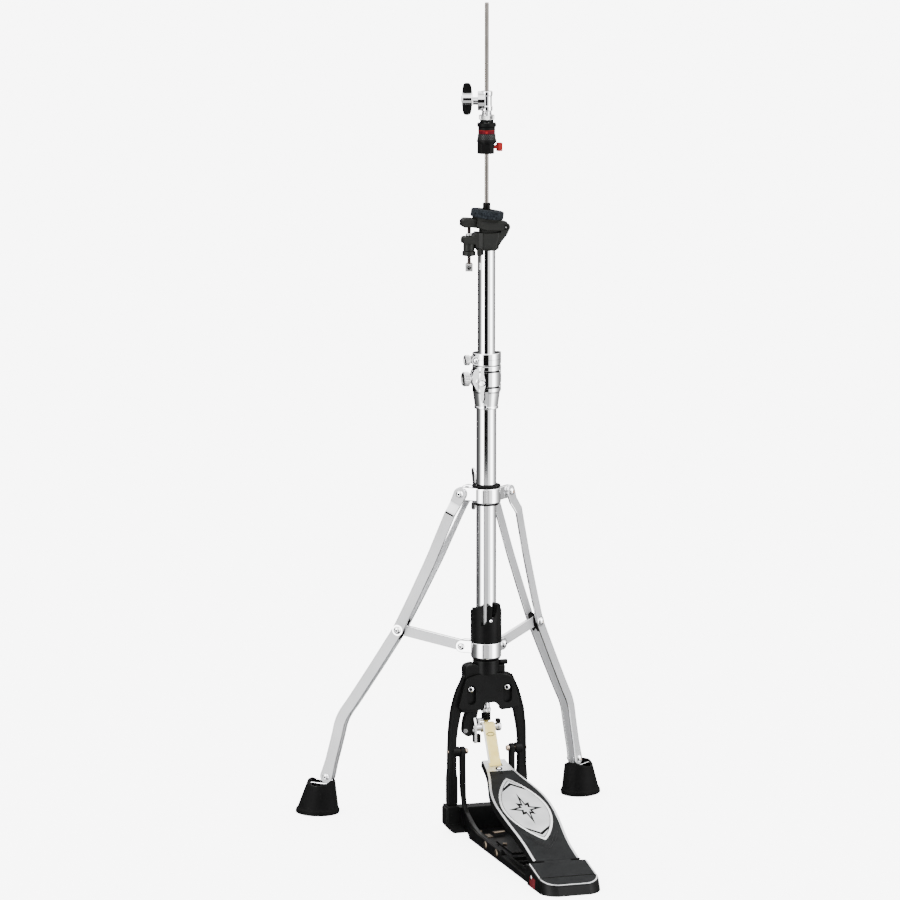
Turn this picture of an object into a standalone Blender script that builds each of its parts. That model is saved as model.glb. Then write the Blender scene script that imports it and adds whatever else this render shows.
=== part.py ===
"""Hi-hat stand: a two-leg folding base, a strap-drive pedal, a tilting cymbal seat and a clutch.

Metres, +Z up. The origin is where the axis of the tubes meets the floor. The player sits at -Y and
the two legs spread to the rear, at +Y.
"""

import math

import bmesh
import bpy
from mathutils import Matrix, Vector

MM = 0.001


def mm(*values):
    """Millimetres as metres: one number, or a vector."""
    metres = [value * MM for value in values]
    return metres[0] if len(metres) == 1 else Vector(metres)


# Driving dimensions.
GAP = mm(0.3)
REST_GAP = mm(0.1)

BASE_TUBE_R, BASE_TUBE_BORE = mm(14.3), mm(12.9)
BASE_TUBE_Z = mm(204), mm(667)
UPPER_TUBE_R, UPPER_TUBE_BORE = mm(12.5), mm(11.1)
UPPER_TUBE_Z = mm(490), mm(850)
PULL_ROD_R = mm(3)
PULL_ROD_Z = mm(300.3), mm(1184)
LOWER_ROD_R = mm(5.7)

HEAD_Z = mm(196), mm(250)
ARM_X = mm(49.8), mm(58.2)
ARM_Y = mm(-8), mm(2)
CROSSBAR_TOP = mm(38)
FRAME_FOOT_X = mm(63.8)

LEG_BEARING = math.radians(50)
COLLAR_PIVOT = mm(31.6), mm(489)
KNEE = mm(133), mm(282)
FOOT_BOLT = mm(247), mm(56)
FOOT_CENTRE_R = mm(264)
COLLAR_BORE = mm(15.4)
COLLAR_BOLT_AXIS = (-0.087, 1, 0)
STRUT_PIVOT = mm(35), mm(266)
STRUT_LENGTH, STRUT_RISE = mm(99), math.radians(9.3)
BAR_WIDTH, BAR_THICKNESS = mm(19), mm(3)
PIN_R, PIN_HOLE_R = mm(3), mm(3.4)

HEEL_HINGE = mm(0, -315, 30)
BOARD_LENGTH, BOARD_SLOPE = mm(291), math.radians(15.3)
BOARD_DEPTH = mm(10)
HUB = mm(-1.5, -10, 152)
HUB_R = mm(5)
STRAP_WIDTH, STRAP_THICKNESS = mm(15), mm(2.2)
STRAP_FOOT_U = mm(283)
ROD_PIVOT = mm(37, -5, 118)

CLAMP_Z = mm(611), mm(673)
MEMORY_LOCK_Z = mm(673.4), mm(690)
TILT_PIN = mm(24, -1, 869)
SEAT_TILT = math.radians(7.5)
SEAT_CENTRE = Matrix.Translation((-TILT_PIN.x - mm(1.2), -TILT_PIN.y, mm(8)))
CLUTCH_Z = mm(972)
CLUTCH_TURN = Matrix.Rotation(math.radians(-18), 4, "Z")

# Turns an XY outline to face +X: its X runs along Y and its Y along Z.
SIDEWAYS = Matrix(((0, 0, 1, 0), (1, 0, 0, 0), (0, 1, 0, 0), (0, 0, 0, 1)))

PARTS = bpy.data.collections.new("hi_hat_stand")
HELPERS = bpy.data.collections.new("cutters")
MATERIALS = {}
JOINTS = {}


# Scene, materials and joint empties.


def clear_scene():
    for obj in list(bpy.data.objects):
        bpy.data.objects.remove(obj, do_unlink=True)
    bpy.context.scene.collection.children.link(PARTS)
    bpy.context.scene.collection.children.link(HELPERS)


def add_material(name, color, roughness, metallic):
    made = bpy.data.materials.new(name)
    made.use_nodes = True
    shader = made.node_tree.nodes["Principled BSDF"]
    shader.inputs["Base Color"].default_value = (*color, 1)
    shader.inputs["Roughness"].default_value = roughness
    shader.inputs["Metallic"].default_value = metallic
    made.diffuse_color = (*color, 1)
    MATERIALS[name] = made


def add_materials():
    add_material("chrome", (0.80, 0.81, 0.83), 0.08, 1)
    add_material("bare_steel", (0.62, 0.62, 0.63), 0.3, 1)
    add_material("black_casting", (0.018, 0.018, 0.02), 0.42, 0)
    add_material("black_plastic", (0.02, 0.02, 0.022), 0.5, 0)
    add_material("black_rubber", (0.015, 0.015, 0.016), 0.75, 0)
    add_material("silver_paint", (0.6, 0.61, 0.62), 0.35, 0.6)
    add_material("dark_felt", (0.045, 0.055, 0.085), 0.95, 0)
    add_material("strap_webbing", (0.78, 0.70, 0.45), 0.8, 0)
    add_material("red_plastic", (0.55, 0.03, 0.04), 0.4, 0)
    add_material("maroon_bushing", (0.22, 0.05, 0.06), 0.5, 0)


def add_joint(name, position, parent=None):
    """An empty on a joint's axis, which carries the pieces that move with it."""
    empty = bpy.data.objects.new(name, None)
    empty.empty_display_size = mm(20)
    PARTS.objects.link(empty)
    empty.matrix_world = Matrix.Translation(position)
    bpy.context.view_layer.update()
    if parent:
        hang(empty, JOINTS[parent])
    JOINTS[name] = empty


def hang(obj, parent):
    """Parents obj and leaves it where it is."""
    bpy.context.view_layer.update()
    obj.parent = parent
    obj.matrix_parent_inverse = parent.matrix_world.inverted()


def carry(joint, *objects):
    for obj in objects:
        hang(obj, JOINTS[joint])


# Shapes. Each returns an object; place is the matrix from the shape's own axes to the world.


def at(*position):
    return Matrix.Translation(Vector(position))


def along(direction):
    """The rotation that turns +Z to direction."""
    return Vector(direction).to_track_quat("Z", "Y").to_matrix().to_4x4()


def finish(obj, paint, place):
    """Links a shape as a part, in its material and with its round faces smooth."""
    PARTS.objects.link(obj)
    obj.matrix_world = place
    obj.data.materials.append(MATERIALS[paint])
    if obj.data.polygons:
        obj.data.shade_smooth()
        obj.data.set_sharp_from_angle(angle=math.radians(35))
    return obj


def from_bmesh(name, mesh_builder, paint, place):
    mesh = bpy.data.meshes.new(name)
    work = bmesh.new()
    mesh_builder(work)
    bmesh.ops.recalc_face_normals(work, faces=work.faces)
    work.to_mesh(mesh)
    work.free()
    return finish(bpy.data.objects.new(name, mesh), paint, place)


def block(name, low, high, paint="black_casting", place=Matrix(), bevel=0.0):
    """A box between two corners, with its edges chamfered."""
    low, high = Vector(low), Vector(high)

    def build(work):
        size = Matrix.Diagonal((*(high - low), 1))
        bmesh.ops.create_cube(work, size=1, matrix=at(*(low + high) / 2) @ size)

    made = from_bmesh(name, build, paint, place)
    if bevel:
        chamfer(made, bevel)
    return made


def chamfer(obj, width, segments=1):
    edges = obj.modifiers.new("edges", "BEVEL")
    edges.width = width
    edges.segments = segments
    edges.limit_method = "ANGLE"
    edges.angle_limit = math.radians(40)


def turned(name, profile, paint, place=Matrix(), steps=24):
    """A profile of (radius, height) points, from the top down the outside, turned about Z.

    A profile that starts and ends at radius 0 is solid. Any other is closed into a ring.
    """
    mesh = bpy.data.meshes.new(name)
    points = [(radius, 0, height) for radius, height in profile]
    count = len(points)
    edges = [(i, i + 1) for i in range(count - 1)]
    if profile[0][0] > 0:
        edges.append((count - 1, 0))
    mesh.from_pydata(points, edges, [])
    obj = finish(bpy.data.objects.new(name, mesh), paint, place)
    screw = obj.modifiers.new("turn", "SCREW")
    screw.steps = steps
    screw.render_steps = steps
    screw.use_merge_vertices = True
    screw.merge_threshold = 0.00001
    screw.use_smooth_shade = True
    return obj


def rod(name, radius, length, paint, place=Matrix(), steps=16):
    """A solid cylinder from the origin up +Z."""
    return turned(name, [(0, length), (radius, length), (radius, 0), (0, 0)], paint, place, steps)


def ring(name, outer, inner, low, high, paint, place=Matrix(), steps=20):
    profile = [(inner, high), (outer, high), (outer, low), (inner, low)]
    return turned(name, profile, paint, place, steps)


def plate(name, outline, thickness, paint, place=Matrix()):
    """A flat outline in XY, given its thickness half each way along Z."""
    curve = bpy.data.curves.new(name, "CURVE")
    curve.dimensions = "2D"
    curve.fill_mode = "BOTH"
    curve.extrude = thickness / 2
    spline = curve.splines.new("POLY")
    spline.points.add(len(outline) - 1)
    for point, (x, y) in zip(spline.points, outline):
        point.co = (x, y, 0, 1)
    spline.use_cyclic_u = True
    return curve_as_mesh(name, curve, paint, place)


def wire(name, points, radius, paint, place=Matrix(), resolution=1):
    """A round wire along points, with closed ends."""
    curve = bpy.data.curves.new(name, "CURVE")
    curve.dimensions = "3D"
    curve.bevel_depth = radius
    curve.bevel_resolution = resolution
    curve.use_fill_caps = True
    spline = curve.splines.new("POLY")
    spline.points.add(len(points) - 1)
    for point, position in zip(spline.points, points):
        point.co = (*position, 1)
    return curve_as_mesh(name, curve, paint, place)


def curve_as_mesh(name, curve, paint, place):
    source = bpy.data.objects.new(name, curve)
    PARTS.objects.link(source)
    source.matrix_world = place
    bpy.context.view_layer.update()
    evaluated = source.evaluated_get(bpy.context.evaluated_depsgraph_get())
    mesh = bpy.data.meshes.new_from_object(evaluated)
    bpy.data.objects.remove(source)
    work = bmesh.new()
    work.from_mesh(mesh)
    bmesh.ops.remove_doubles(work, verts=work.verts, dist=0.000005)
    bmesh.ops.recalc_face_normals(work, faces=work.faces)
    work.to_mesh(mesh)
    work.free()
    mesh.materials.clear()
    return finish(bpy.data.objects.new(name, mesh), paint, place)


def frozen(obj):
    """The object with its modifiers applied, so that its mesh can be reshaped."""
    bpy.context.view_layer.update()
    evaluated = obj.evaluated_get(bpy.context.evaluated_depsgraph_get())
    obj.data = bpy.data.meshes.new_from_object(evaluated)
    obj.modifiers.clear()
    return obj


def combine(obj, operation, *others):
    """Joins others to obj, or cuts them from it. Each becomes a hidden helper that follows obj."""
    for other in others:
        PARTS.objects.unlink(other)
        HELPERS.objects.link(other)
        hang(other, obj)
        other.name = f"{obj.name}_{operation.lower()}_{len(obj.modifiers)}"
        other.hide_render = True
        other.display_type = "WIRE"
        change = obj.modifiers.new(other.name, "BOOLEAN")
        change.operation = operation
        change.object = other
    return obj


def join(obj, *others):
    return combine(obj, "UNION", *others)


def cut(obj, *others):
    return combine(obj, "DIFFERENCE", *others)


def hole(place, radius, length, steps=12):
    """A cutter: a cylinder centred on place, along its Z."""
    return rod("hole", radius, length, "chrome", place @ at(0, 0, -length / 2), steps)


def arc(centre, radius, start, end, count):
    """Points on an arc, from angle start to end in degrees, with both ends."""
    points = []
    for i in range(count + 1):
        angle = math.radians(start + (end - start) * i / count)
        points.append((centre[0] + radius * math.cos(angle), centre[1] + radius * math.sin(angle)))
    return points


def mirrored(points):
    """An outline's right half, followed by its mirror image back to the start."""
    return points + [(-x, y) for x, y in reversed(points)]


def dome_bolt(name, place, length, head=mm(5.2), paint="chrome", nut=True):
    """A round-headed bolt along Z: its head at the top end, a nut at the lower one."""
    profile = [
        (0, length / 2 + mm(3.6)),
        (head * 0.6, length / 2 + mm(3.2)),
        (head, length / 2 + mm(1)),
        (head, length / 2),
        (PIN_R, length / 2),
    ]
    if nut:
        profile += [(PIN_R, -length / 2), (head, -length / 2), (head, -length / 2 - mm(3.4))]
        profile += [(0, -length / 2 - mm(3.4))]
    else:
        profile += [(PIN_R, -length / 2), (0, -length / 2)]
    return turned(name, profile, paint, place, 12)


# The frame: casting, crossbar, tube, clamp, base plate and heel.


def upright(z):
    """The matrix that stands an XY outline up in XZ, facing -Y, at height z."""
    return at(0, 0, z) @ Matrix.Rotation(math.radians(90), 4, "X")


def head_outline():
    return mirrored([(mm(14), mm(231.5)), (mm(34), mm(226)), (mm(44.7), mm(181)), (mm(18), mm(178))])


def arm_outline(side):
    """One arm, seen from the front: a bow from the head to a straight, thicker lower end."""
    outer, inner = ARM_X[1], ARM_X[0]
    points = [(mm(8), mm(229)), (mm(31), mm(228)), (mm(38.5), mm(207)), (mm(46.5), mm(184))]
    points += [(mm(53), mm(162)), (mm(57), mm(140)), (outer, mm(127)), (outer, mm(88))]
    points += [(outer + mm(1.3), mm(82)), (outer + mm(1.3), CROSSBAR_TOP + GAP)]
    points += [(mm(44.7), CROSSBAR_TOP + GAP), (mm(44.7), mm(80)), (inner - mm(1), mm(88))]
    points += [(inner, mm(94)), (inner, mm(135)), (mm(47), mm(155)), (mm(41), mm(182)), (mm(8), mm(200))]
    return [(side * x, z) for x, z in points]


def make_a_frame():
    body = rod("a_frame", mm(19), HEAD_Z[1] - HEAD_Z[0], "black_casting", at(0, 0, HEAD_Z[0]), 24)
    front = plate("head_plate", head_outline(), mm(9.5), "black_casting", upright(0) @ at(0, 0, mm(12.25)))
    depth = ARM_Y[1] - ARM_Y[0]
    centre = -(ARM_Y[0] + ARM_Y[1]) / 2
    arms = [
        plate("arm", arm_outline(side), depth, "black_casting", upright(0) @ at(0, 0, centre))
        for side in (-1, 1)
    ]
    left_lug = block("lug", mm(-34, -11, 222), mm(-10, 9, 245), bevel=mm(3))
    right_lug = block("lug", mm(10, -7, 222), mm(30.5, 9, 244), bevel=mm(3))
    bosses = [
        rod("boss", mm(6.5), mm(9), "black_casting", at(side * mm(45), ROD_PIVOT.y, ROD_PIVOT.z)
            @ along((side, 0, 0)), 16)
        for side in (-1, 1)
    ]
    bracket = block("bracket", mm(-35, -9.4, 142), mm(-23, 4.6, 196), bevel=mm(2))
    join(body, front, *arms, left_lug, right_lug, *bosses, bracket)
    bore = hole(at(0, 0, BASE_TUBE_Z[0] - GAP + mm(50)), BASE_TUBE_R + GAP, mm(100), 24)
    rod_way = hole(at(0, 0, HEAD_Z[0]), mm(8), mm(80), 16)
    notch = block("notch", mm(-13, -30, 160), mm(15, 30, 188))
    slots = []
    for side in (-1, 1):
        slots.append(slot_cutter(side))
        pivot = at(side * ROD_PIVOT.x, ROD_PIVOT.y, ROD_PIVOT.z) @ along((1, 0, 0))
        slots.append(hole(pivot, PIN_HOLE_R, mm(44)))
    cut(body, bore, rod_way, notch, *slots)
    return body


def slot_cutter(side):
    """The upright recess that holds one head screw."""
    centre_x, radius = side * mm(27), mm(5.3)
    outline = arc((centre_x, mm(210)), radius, 0, 180, 6) + arc((centre_x, mm(196)), radius, 180, 360, 6)
    return plate("slot", outline, mm(8), "black_casting", upright(0) @ at(0, 0, mm(18)))


def make_base_bar():
    half = [(FRAME_FOOT_X, CROSSBAR_TOP), (FRAME_FOOT_X, mm(12)), (mm(52), 0), (mm(0), 0)]
    outline = [(x, z) for x, z in half] + [(-x, z) for x, z in reversed(half[:-1])]
    bar = plate("base_bar", outline, mm(22), "black_casting", upright(0) @ at(0, 0, mm(3)))
    chamfer(bar, mm(1.2))
    return bar


def make_head_screw(side):
    name = f"head_screw_{'left' if side < 0 else 'right'}"
    place = at(side * mm(27), mm(-14.3), mm(209)) @ along((0, -1, 0))
    screw = rod(name, mm(4), mm(3.5), "chrome", place, 12)
    return cut(screw, hole(place @ at(0, 0, mm(3.5)), mm(2), mm(3), 6))


def make_height_clamp():
    """The clamp that grips both tubes: a tapering sleeve under a split ring with an ear and a hinge."""
    z0, z1 = CLAMP_Z
    step = BASE_TUBE_Z[1] + GAP
    profile = [(0, z1), (mm(19.8), z1), (mm(19.8), z0 + mm(26)), (mm(19.2), z0 + mm(24))]
    profile += [(mm(17.6), z0 + mm(5)), (mm(17.6), z0), (0, z0)]
    body = turned("height_clamp", profile, "chrome", steps=24)
    ear = block("ear", mm(-27, -14.5, 632), mm(-15, 2, 672.5), "chrome", bevel=mm(2))
    knuckle = rod("knuckle", mm(5), mm(38), "chrome", at(mm(19), mm(7), mm(634.5)), 12)
    join(body, ear, knuckle)
    clear = hole(at(0, 0, step - mm(50)), BASE_TUBE_R + GAP, mm(100), 24)
    clear_top = hole(at(0, 0, z1), UPPER_TUBE_R + GAP, mm(40), 24)
    slit = block("slit", mm(-28, -7, 630), mm(-15.5, -5, 680), "chrome")
    stud = hole(at(mm(-21), mm(-6), mm(655)) @ along((1, 0, 0)), mm(2.6), mm(20))
    return cut(body, clear, clear_top, slit, stud)


def make_clamp_knob():
    """The knurled knob that closes the clamp, on its stud along X."""
    place = at(mm(-27.4), mm(-6), mm(655)) @ along((-1, 0, 0))
    profile = [(0, mm(9.5)), (mm(8.4), mm(9.5)), (mm(10.4), mm(8)), (mm(10.4), mm(2)), (mm(8.6), 0)]
    profile += [(mm(2.2), 0), (mm(2.2), mm(-9)), (0, mm(-9))]
    return turned("clamp_knob", profile, "chrome", place, 20)


def make_base_plate():
    """The pressed plate under the pedal: a floor with raised sides and three cross ribs."""
    low_y, high_y = mm(-322), mm(-15)
    body = block("base_plate", (mm(-30), low_y, mm(2)), (mm(30), high_y, mm(5)))
    sides = [
        block("side", (min(a, b), low_y, mm(2)), (max(a, b), high_y, mm(12)))
        for a, b in ((mm(-33.5), mm(-29.5)), (mm(29.5), mm(33.5)))
    ]
    ribs = [block("rib", mm(-30, y - 7, 4.5), mm(30, y + 7, 9)) for y in (-270, -235, -200)]
    return join(body, *sides, *ribs)


def heel_top(y):
    """The height of the heel plate's top at y: it carries on the footboard's slope."""
    return HEEL_HINGE.z + (y - HEEL_HINGE.y) * math.tan(BOARD_SLOPE)


def make_heel_plate():
    """The heel casting: a rounded end whose top slopes down from the hinge."""
    front, back, half = mm(-323), mm(-389), mm(43)
    corner = mm(24)
    outline = mirrored([(half, front)] + arc((half - corner, back + corner), corner, 0, -90, 7))
    body = plate("heel_plate", outline, mm(40), "black_casting", at(0, 0, mm(20)))
    chop = block("chop", mm(-80, -70, 0), mm(80, 70, 60), place=heel_slope_place())
    arms = [
        block("arm", mm(x0, -324, 0), mm(x1, -305, 26), bevel=mm(2))
        for x0, x1 in ((-42, -37.6), (37.6, 42))
    ]
    pocket = block("pocket", mm(-34, -372, -5), mm(34, -320, 9))
    cut(body, chop)
    join(body, *arms)
    pin = hole(at(0, HEEL_HINGE.y, mm(19)) @ along((1, 0, 0)), mm(2.8), mm(100))
    bearing_seats = [
        block("seat", mm(x0, -351, -5), mm(x1, -327, 15.5)) for x0, x1 in ((-44, -36), (36, 44))
    ]
    return cut(body, pocket, pin, *bearing_seats)


def heel_slope_place():
    """The heel's top plane, at the middle of the heel."""
    y = mm(-356)
    return at(0, y, heel_top(y) + mm(0.8)) @ Matrix.Rotation(BOARD_SLOPE, 4, "X")


def make_heel_pin():
    place = at(mm(-42), HEEL_HINGE.y, mm(19)) @ along((1, 0, 0))
    return rod("heel_pin", mm(2.4), mm(84), "bare_steel", place, 12)


def make_bearing(side):
    name = f"heel_bearing_{'left' if side < 0 else 'right'}"
    x0, x1 = sorted((side * mm(36.4), side * mm(43.4)))
    return block(name, (x0, mm(-350.6), 0), (x1, mm(-327.4), mm(15.1)), "maroon_bushing", bevel=mm(1))


def radius_rod_outline():
    """The side bar in YZ: an eye at the top, a straight shank and a bend into the long foot."""
    eye = arc((ROD_PIVOT.y, ROD_PIVOT.z), mm(7), 0, 180, 8)
    front = [(ROD_PIVOT.y - mm(6.5), mm(100)), (mm(-14), mm(50)), (mm(-24), mm(36)), (mm(-60), mm(23))]
    front += [(mm(-90), mm(17)), (mm(-192), mm(16))]
    rear = [(mm(-192), mm(0.5)), (mm(-48), mm(0.5)), (mm(-30), mm(8)), (mm(-18), mm(22))]
    rear += [(mm(-14.6), CROSSBAR_TOP), (mm(-8), mm(48)), (mm(-1), mm(62))]
    rear += [(ROD_PIVOT.y + mm(6.5), mm(100))]
    return eye + front + rear


def make_radius_rod(side):
    name = f"radius_rod_{'left' if side < 0 else 'right'}"
    bar = plate(name, radius_rod_outline(), mm(4), "black_casting", at(side * ROD_PIVOT.x, 0, 0) @ SIDEWAYS)
    pivot = at(side * ROD_PIVOT.x, ROD_PIVOT.y, ROD_PIVOT.z) @ along((1, 0, 0))
    return cut(bar, hole(pivot, PIN_HOLE_R, mm(12)))


def make_rod_bolt(side):
    """The shoulder bolt that fastens a side bar to its arm."""
    name = f"rod_bolt_{'left' if side < 0 else 'right'}"
    centre = at(side * mm(46.6), ROD_PIVOT.y, ROD_PIVOT.z) @ along((-side, 0, 0))
    return dome_bolt(name, centre, mm(24), mm(4.6), "bare_steel")


# The swivelling leg hub, the sliding collar, the legs and the struts.


def leg_place(side, radius=0.0, height=0.0):
    """A frame on a leg: X outwards, Z up. side is -1 for the left leg and 1 for the right."""
    turn = math.pi / 2 - side * LEG_BEARING
    return Matrix.Rotation(turn, 4, "Z") @ at(radius, 0, height)


def across(side, w):
    """A leg's own Y for an offset w towards the player."""
    return -side * w


def leg_block(name, side, radii, ws, heights, paint, bevel=0.0):
    y0, y1 = sorted(across(side, w) for w in ws)
    low, high = (radii[0], y0, heights[0]), (radii[1], y1, heights[1])
    return block(name, low, high, paint, leg_place(side), bevel)


def pivot_axis(side, radius, height, w=0.0):
    """Z along a leg's pivot, towards the player."""
    facing = Matrix.Rotation(math.radians(90) * side, 4, "X")
    return leg_place(side, radius, height) @ at(0, across(side, w), 0) @ facing


def make_upper_collar():
    body = rod("upper_collar", mm(20.5), mm(22), "chrome", at(0, 0, mm(476)), 24)
    radius, height = COLLAR_PIVOT
    ears = []
    for side in (-1, 1):
        ears.append(leg_block("ear", side, (mm(16), radius + mm(8)), (mm(-8.2), mm(-2)),
                              (mm(479), mm(498)), "chrome", mm(2)))
        ears.append(leg_block("ear", side, (mm(6), radius + mm(8)), (mm(13), mm(19.2)),
                              (mm(479), mm(498)), "chrome", mm(2)))
    boss = rod("boss", mm(7), mm(19), "chrome", at(0, mm(16), mm(487)) @ along(COLLAR_BOLT_AXIS), 16)
    join(body, *ears, boss)
    clear = hole(at(0, 0, mm(487)), COLLAR_BORE, mm(40), 24)
    pins = [hole(pivot_axis(side, radius, height), PIN_HOLE_R, mm(60)) for side in (-1, 1)]
    stud = hole(at(0, mm(17), mm(487)) @ along(COLLAR_BOLT_AXIS), mm(2.9), mm(60))
    return cut(body, clear, *pins, stud)


def make_collar_gasket():
    """The black liner between collar and tube: a thin sleeve with a lip at each end."""
    inner = BASE_TUBE_R + GAP
    outer = COLLAR_BORE - GAP
    profile = [(inner, mm(502)), (mm(20), mm(502)), (mm(20), mm(498.2)), (outer, mm(498.2))]
    profile += [(outer, mm(475.8)), (mm(18.6), mm(475.8)), (mm(18.6), mm(473))]
    profile += [(inner, mm(473))]
    return turned("collar_gasket", profile, "black_rubber", steps=24)


def make_collar_wing_bolt():
    place = at(0, mm(17), mm(487)) @ along(COLLAR_BOLT_AXIS)
    profile = [(0, mm(32)), (mm(5.5), mm(32)), (mm(6.5), mm(20)), (mm(2.5), mm(20)), (mm(2.5), 0), (0, 0)]
    body = turned("collar_wing_bolt", profile, "chrome", place, 16)
    half = [(0, mm(-5)), (mm(20), mm(-4)), (mm(29), mm(1)), (mm(30), mm(6))]
    half += [(mm(26), mm(9)), (mm(10), mm(5)), (0, mm(5))]
    outline = half + [(-x, y) for x, y in reversed(half[1:-1])]
    return join(body, plate("wings", outline, mm(3.4), "chrome", place @ at(0, 0, mm(28)) @ SIDEWAYS))


def bar_path():
    """The line of a leg bar in the leg's plane: (radius, height) points from the top eye to the foot."""
    points = [COLLAR_PIVOT, (mm(77), mm(390)), (mm(107), mm(331)), KNEE, (mm(168), mm(227.5))]
    points += [(mm(207), mm(168.5)), (mm(218.5), mm(153)), (mm(225.5), mm(138)), (mm(229), mm(122))]
    points += [(mm(239), mm(84)), FOOT_BOLT]
    return [Vector(point) for point in points]


def walk(path):
    """The distance along a path at each of its points."""
    lengths = [0.0]
    for a, b in zip(path, path[1:]):
        lengths.append(lengths[-1] + (b - a).length)
    return lengths


def on_path(path, lengths, s):
    """The point and direction at distance s, carried straight on past either end."""
    last = len(path) - 2
    i = max(0, min(last, sum(1 for length in lengths[1:-1] if s > length)))
    step = path[i + 1] - path[i]
    point = path[i] + step * ((s - lengths[i]) / step.length)
    before = path[max(0, i - 1) + 1] - path[max(0, i - 1)]
    blend = min(1.0, max(0.0, (s - lengths[i]) / step.length * 2))
    direction = before.normalized().lerp(step.normalized(), blend)
    return point, direction.normalized()


def between(table, s):
    """A value interpolated along (position, value) pairs."""
    if s <= table[0][0]:
        return table[0][1]
    for (s0, v0), (s1, v1) in zip(table, table[1:]):
        if s <= s1:
            return v0 + (v1 - v0) * (s - s0) / (s1 - s0)
    return table[-1][1]


def make_leg_bar(side, kind):
    """A flat bar that follows the leg's line, with round ends and its own sideways joggle."""
    path = bar_path()
    lengths = walk(path)
    total = lengths[-1]
    knee_s = lengths[path.index(Vector(KNEE))]
    if kind == "outer":
        offsets = [(mm(17), mm(21.2)), (mm(34), mm(26.5)), (knee_s, mm(8)), (total, mm(5.6))]
    else:
        offsets = [(mm(17), mm(-10.2)), (mm(34), mm(-8.4)), (knee_s, mm(-7)), (total, mm(-5.6))]
    half = BAR_WIDTH / 2
    ends = [half * math.cos(math.radians(angle)) for angle in (0, 25, 50, 75, 90)]
    stations = [-e for e in ends[:-1]] + [mm(17), mm(25), mm(34)]
    stations += [s for s in lengths[1:-1]] + [(lengths[2] + lengths[1]) / 2]
    stations = sorted(stations + [total + e for e in ends[:-1]])
    pivot = Vector(COLLAR_PIVOT)

    def build(work):
        bmesh.ops.create_grid(work, x_segments=len(stations) - 1, y_segments=1, size=1)
        columns = sorted({round(vert.co.x, 5) for vert in work.verts})
        for vert in work.verts:
            s = stations[columns.index(round(vert.co.x, 5))]
            beyond = max(0.0, -s, s - total)
            reach = math.sqrt(max(half * half - beyond * beyond, (half * 0.2) ** 2))
            point, direction = on_path(path, lengths, s)
            point = point + Vector((-direction.y, direction.x)) * reach * vert.co.y
            vert.co = (point.x - pivot.x, across(side, between(offsets, s)), point.y - pivot.y)

    name = f"{kind}_bar_{'left' if side < 0 else 'right'}"
    bar = from_bmesh(name, build, "chrome", leg_place(side, *COLLAR_PIVOT))
    shell = bar.modifiers.new("thickness", "SOLIDIFY")
    shell.thickness = BAR_THICKNESS
    shell.offset = 0
    spots = [(COLLAR_PIVOT, offsets[0][1]), (FOOT_BOLT, offsets[-1][1])]
    if kind == "outer":
        spots.append((KNEE, offsets[2][1]))
    cutters = [hole(pivot_axis(side, *spot, offset), PIN_HOLE_R, mm(14)) for spot, offset in spots]
    return cut(bar, *cutters)


def make_leg_bolt(side):
    name = f"leg_bolt_{'left' if side < 0 else 'right'}"
    return dome_bolt(name, pivot_axis(side, *COLLAR_PIVOT, mm(5.5)), mm(35), mm(6))


def make_knee_bolt(side):
    """The knee bolt, cut short: its head outside the outer bar, its shank just through it."""
    name = f"knee_bolt_{'left' if side < 0 else 'right'}"
    centre = pivot_axis(side, *KNEE, mm(8))
    profile = [(0, mm(6.2)), (mm(3.4), mm(5.8)), (mm(5.6), mm(3.6)), (mm(5.6), mm(2)), (PIN_R, mm(2))]
    profile += [(PIN_R, mm(-1.9)), (0, mm(-1.9))]
    return turned(name, profile, "chrome", centre, 14)


def make_foot_bolt(side):
    name = f"foot_bolt_{'left' if side < 0 else 'right'}"
    return dome_bolt(name, pivot_axis(side, *FOOT_BOLT), mm(15.2), mm(5))


def make_foot(side):
    """The rubber foot: a leaning cone with a lip, notched for the bars, with a tongue for its bolt."""
    name = f"foot_{'left' if side < 0 else 'right'}"
    height, lean = mm(49), mm(10)
    profile = [(0, height), (mm(17.5), height), (mm(18.5), height - mm(2))]
    profile += [(mm(27.5), mm(8)), (mm(30), mm(6))]
    profile += [(mm(30), mm(1.5)), (mm(28.5), 0), (0, 0)]
    foot = frozen(turned(name, profile, "black_rubber", steps=24))
    shear = Matrix.Identity(4)
    shear[0][2] = -lean / height
    foot.data.transform(shear)
    foot.matrix_world = leg_place(side, FOOT_CENTRE_R)
    radius, bolt_z = FOOT_BOLT
    notch = leg_block("notch", side, (mm(213), mm(293)), (mm(-8), mm(8)), (mm(36), mm(60)), "black_rubber")
    tongue = leg_block("tongue", side, (radius - mm(7), radius + mm(8)), (mm(-3.8), mm(3.8)),
                       (mm(30), bolt_z + mm(7)), "black_rubber", mm(2))
    cut(foot, notch)
    join(foot, tongue)
    return cut(foot, hole(pivot_axis(side, *FOOT_BOLT), PIN_HOLE_R, mm(20)))


def make_lower_collar():
    body = rod("lower_collar", mm(21.6), mm(22.5), "chrome", at(0, 0, mm(252.5)), 24)
    ears = []
    for side in (-1, 1):
        for w0, w1 in ((mm(4), mm(9)), (mm(-9), mm(-4))):
            ears.append(leg_block("ear", side, (mm(15.5), STRUT_PIVOT[0] + mm(8.5)), (w0, w1),
                                  (mm(257), mm(274.5)), "chrome", mm(2)))
    join(body, *ears)
    clear = hole(at(0, 0, mm(265)), BASE_TUBE_R + GAP, mm(40), 24)
    pins = [hole(pivot_axis(side, *STRUT_PIVOT), PIN_HOLE_R, mm(40)) for side in (-1, 1)]
    return cut(body, clear, *pins)


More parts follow.
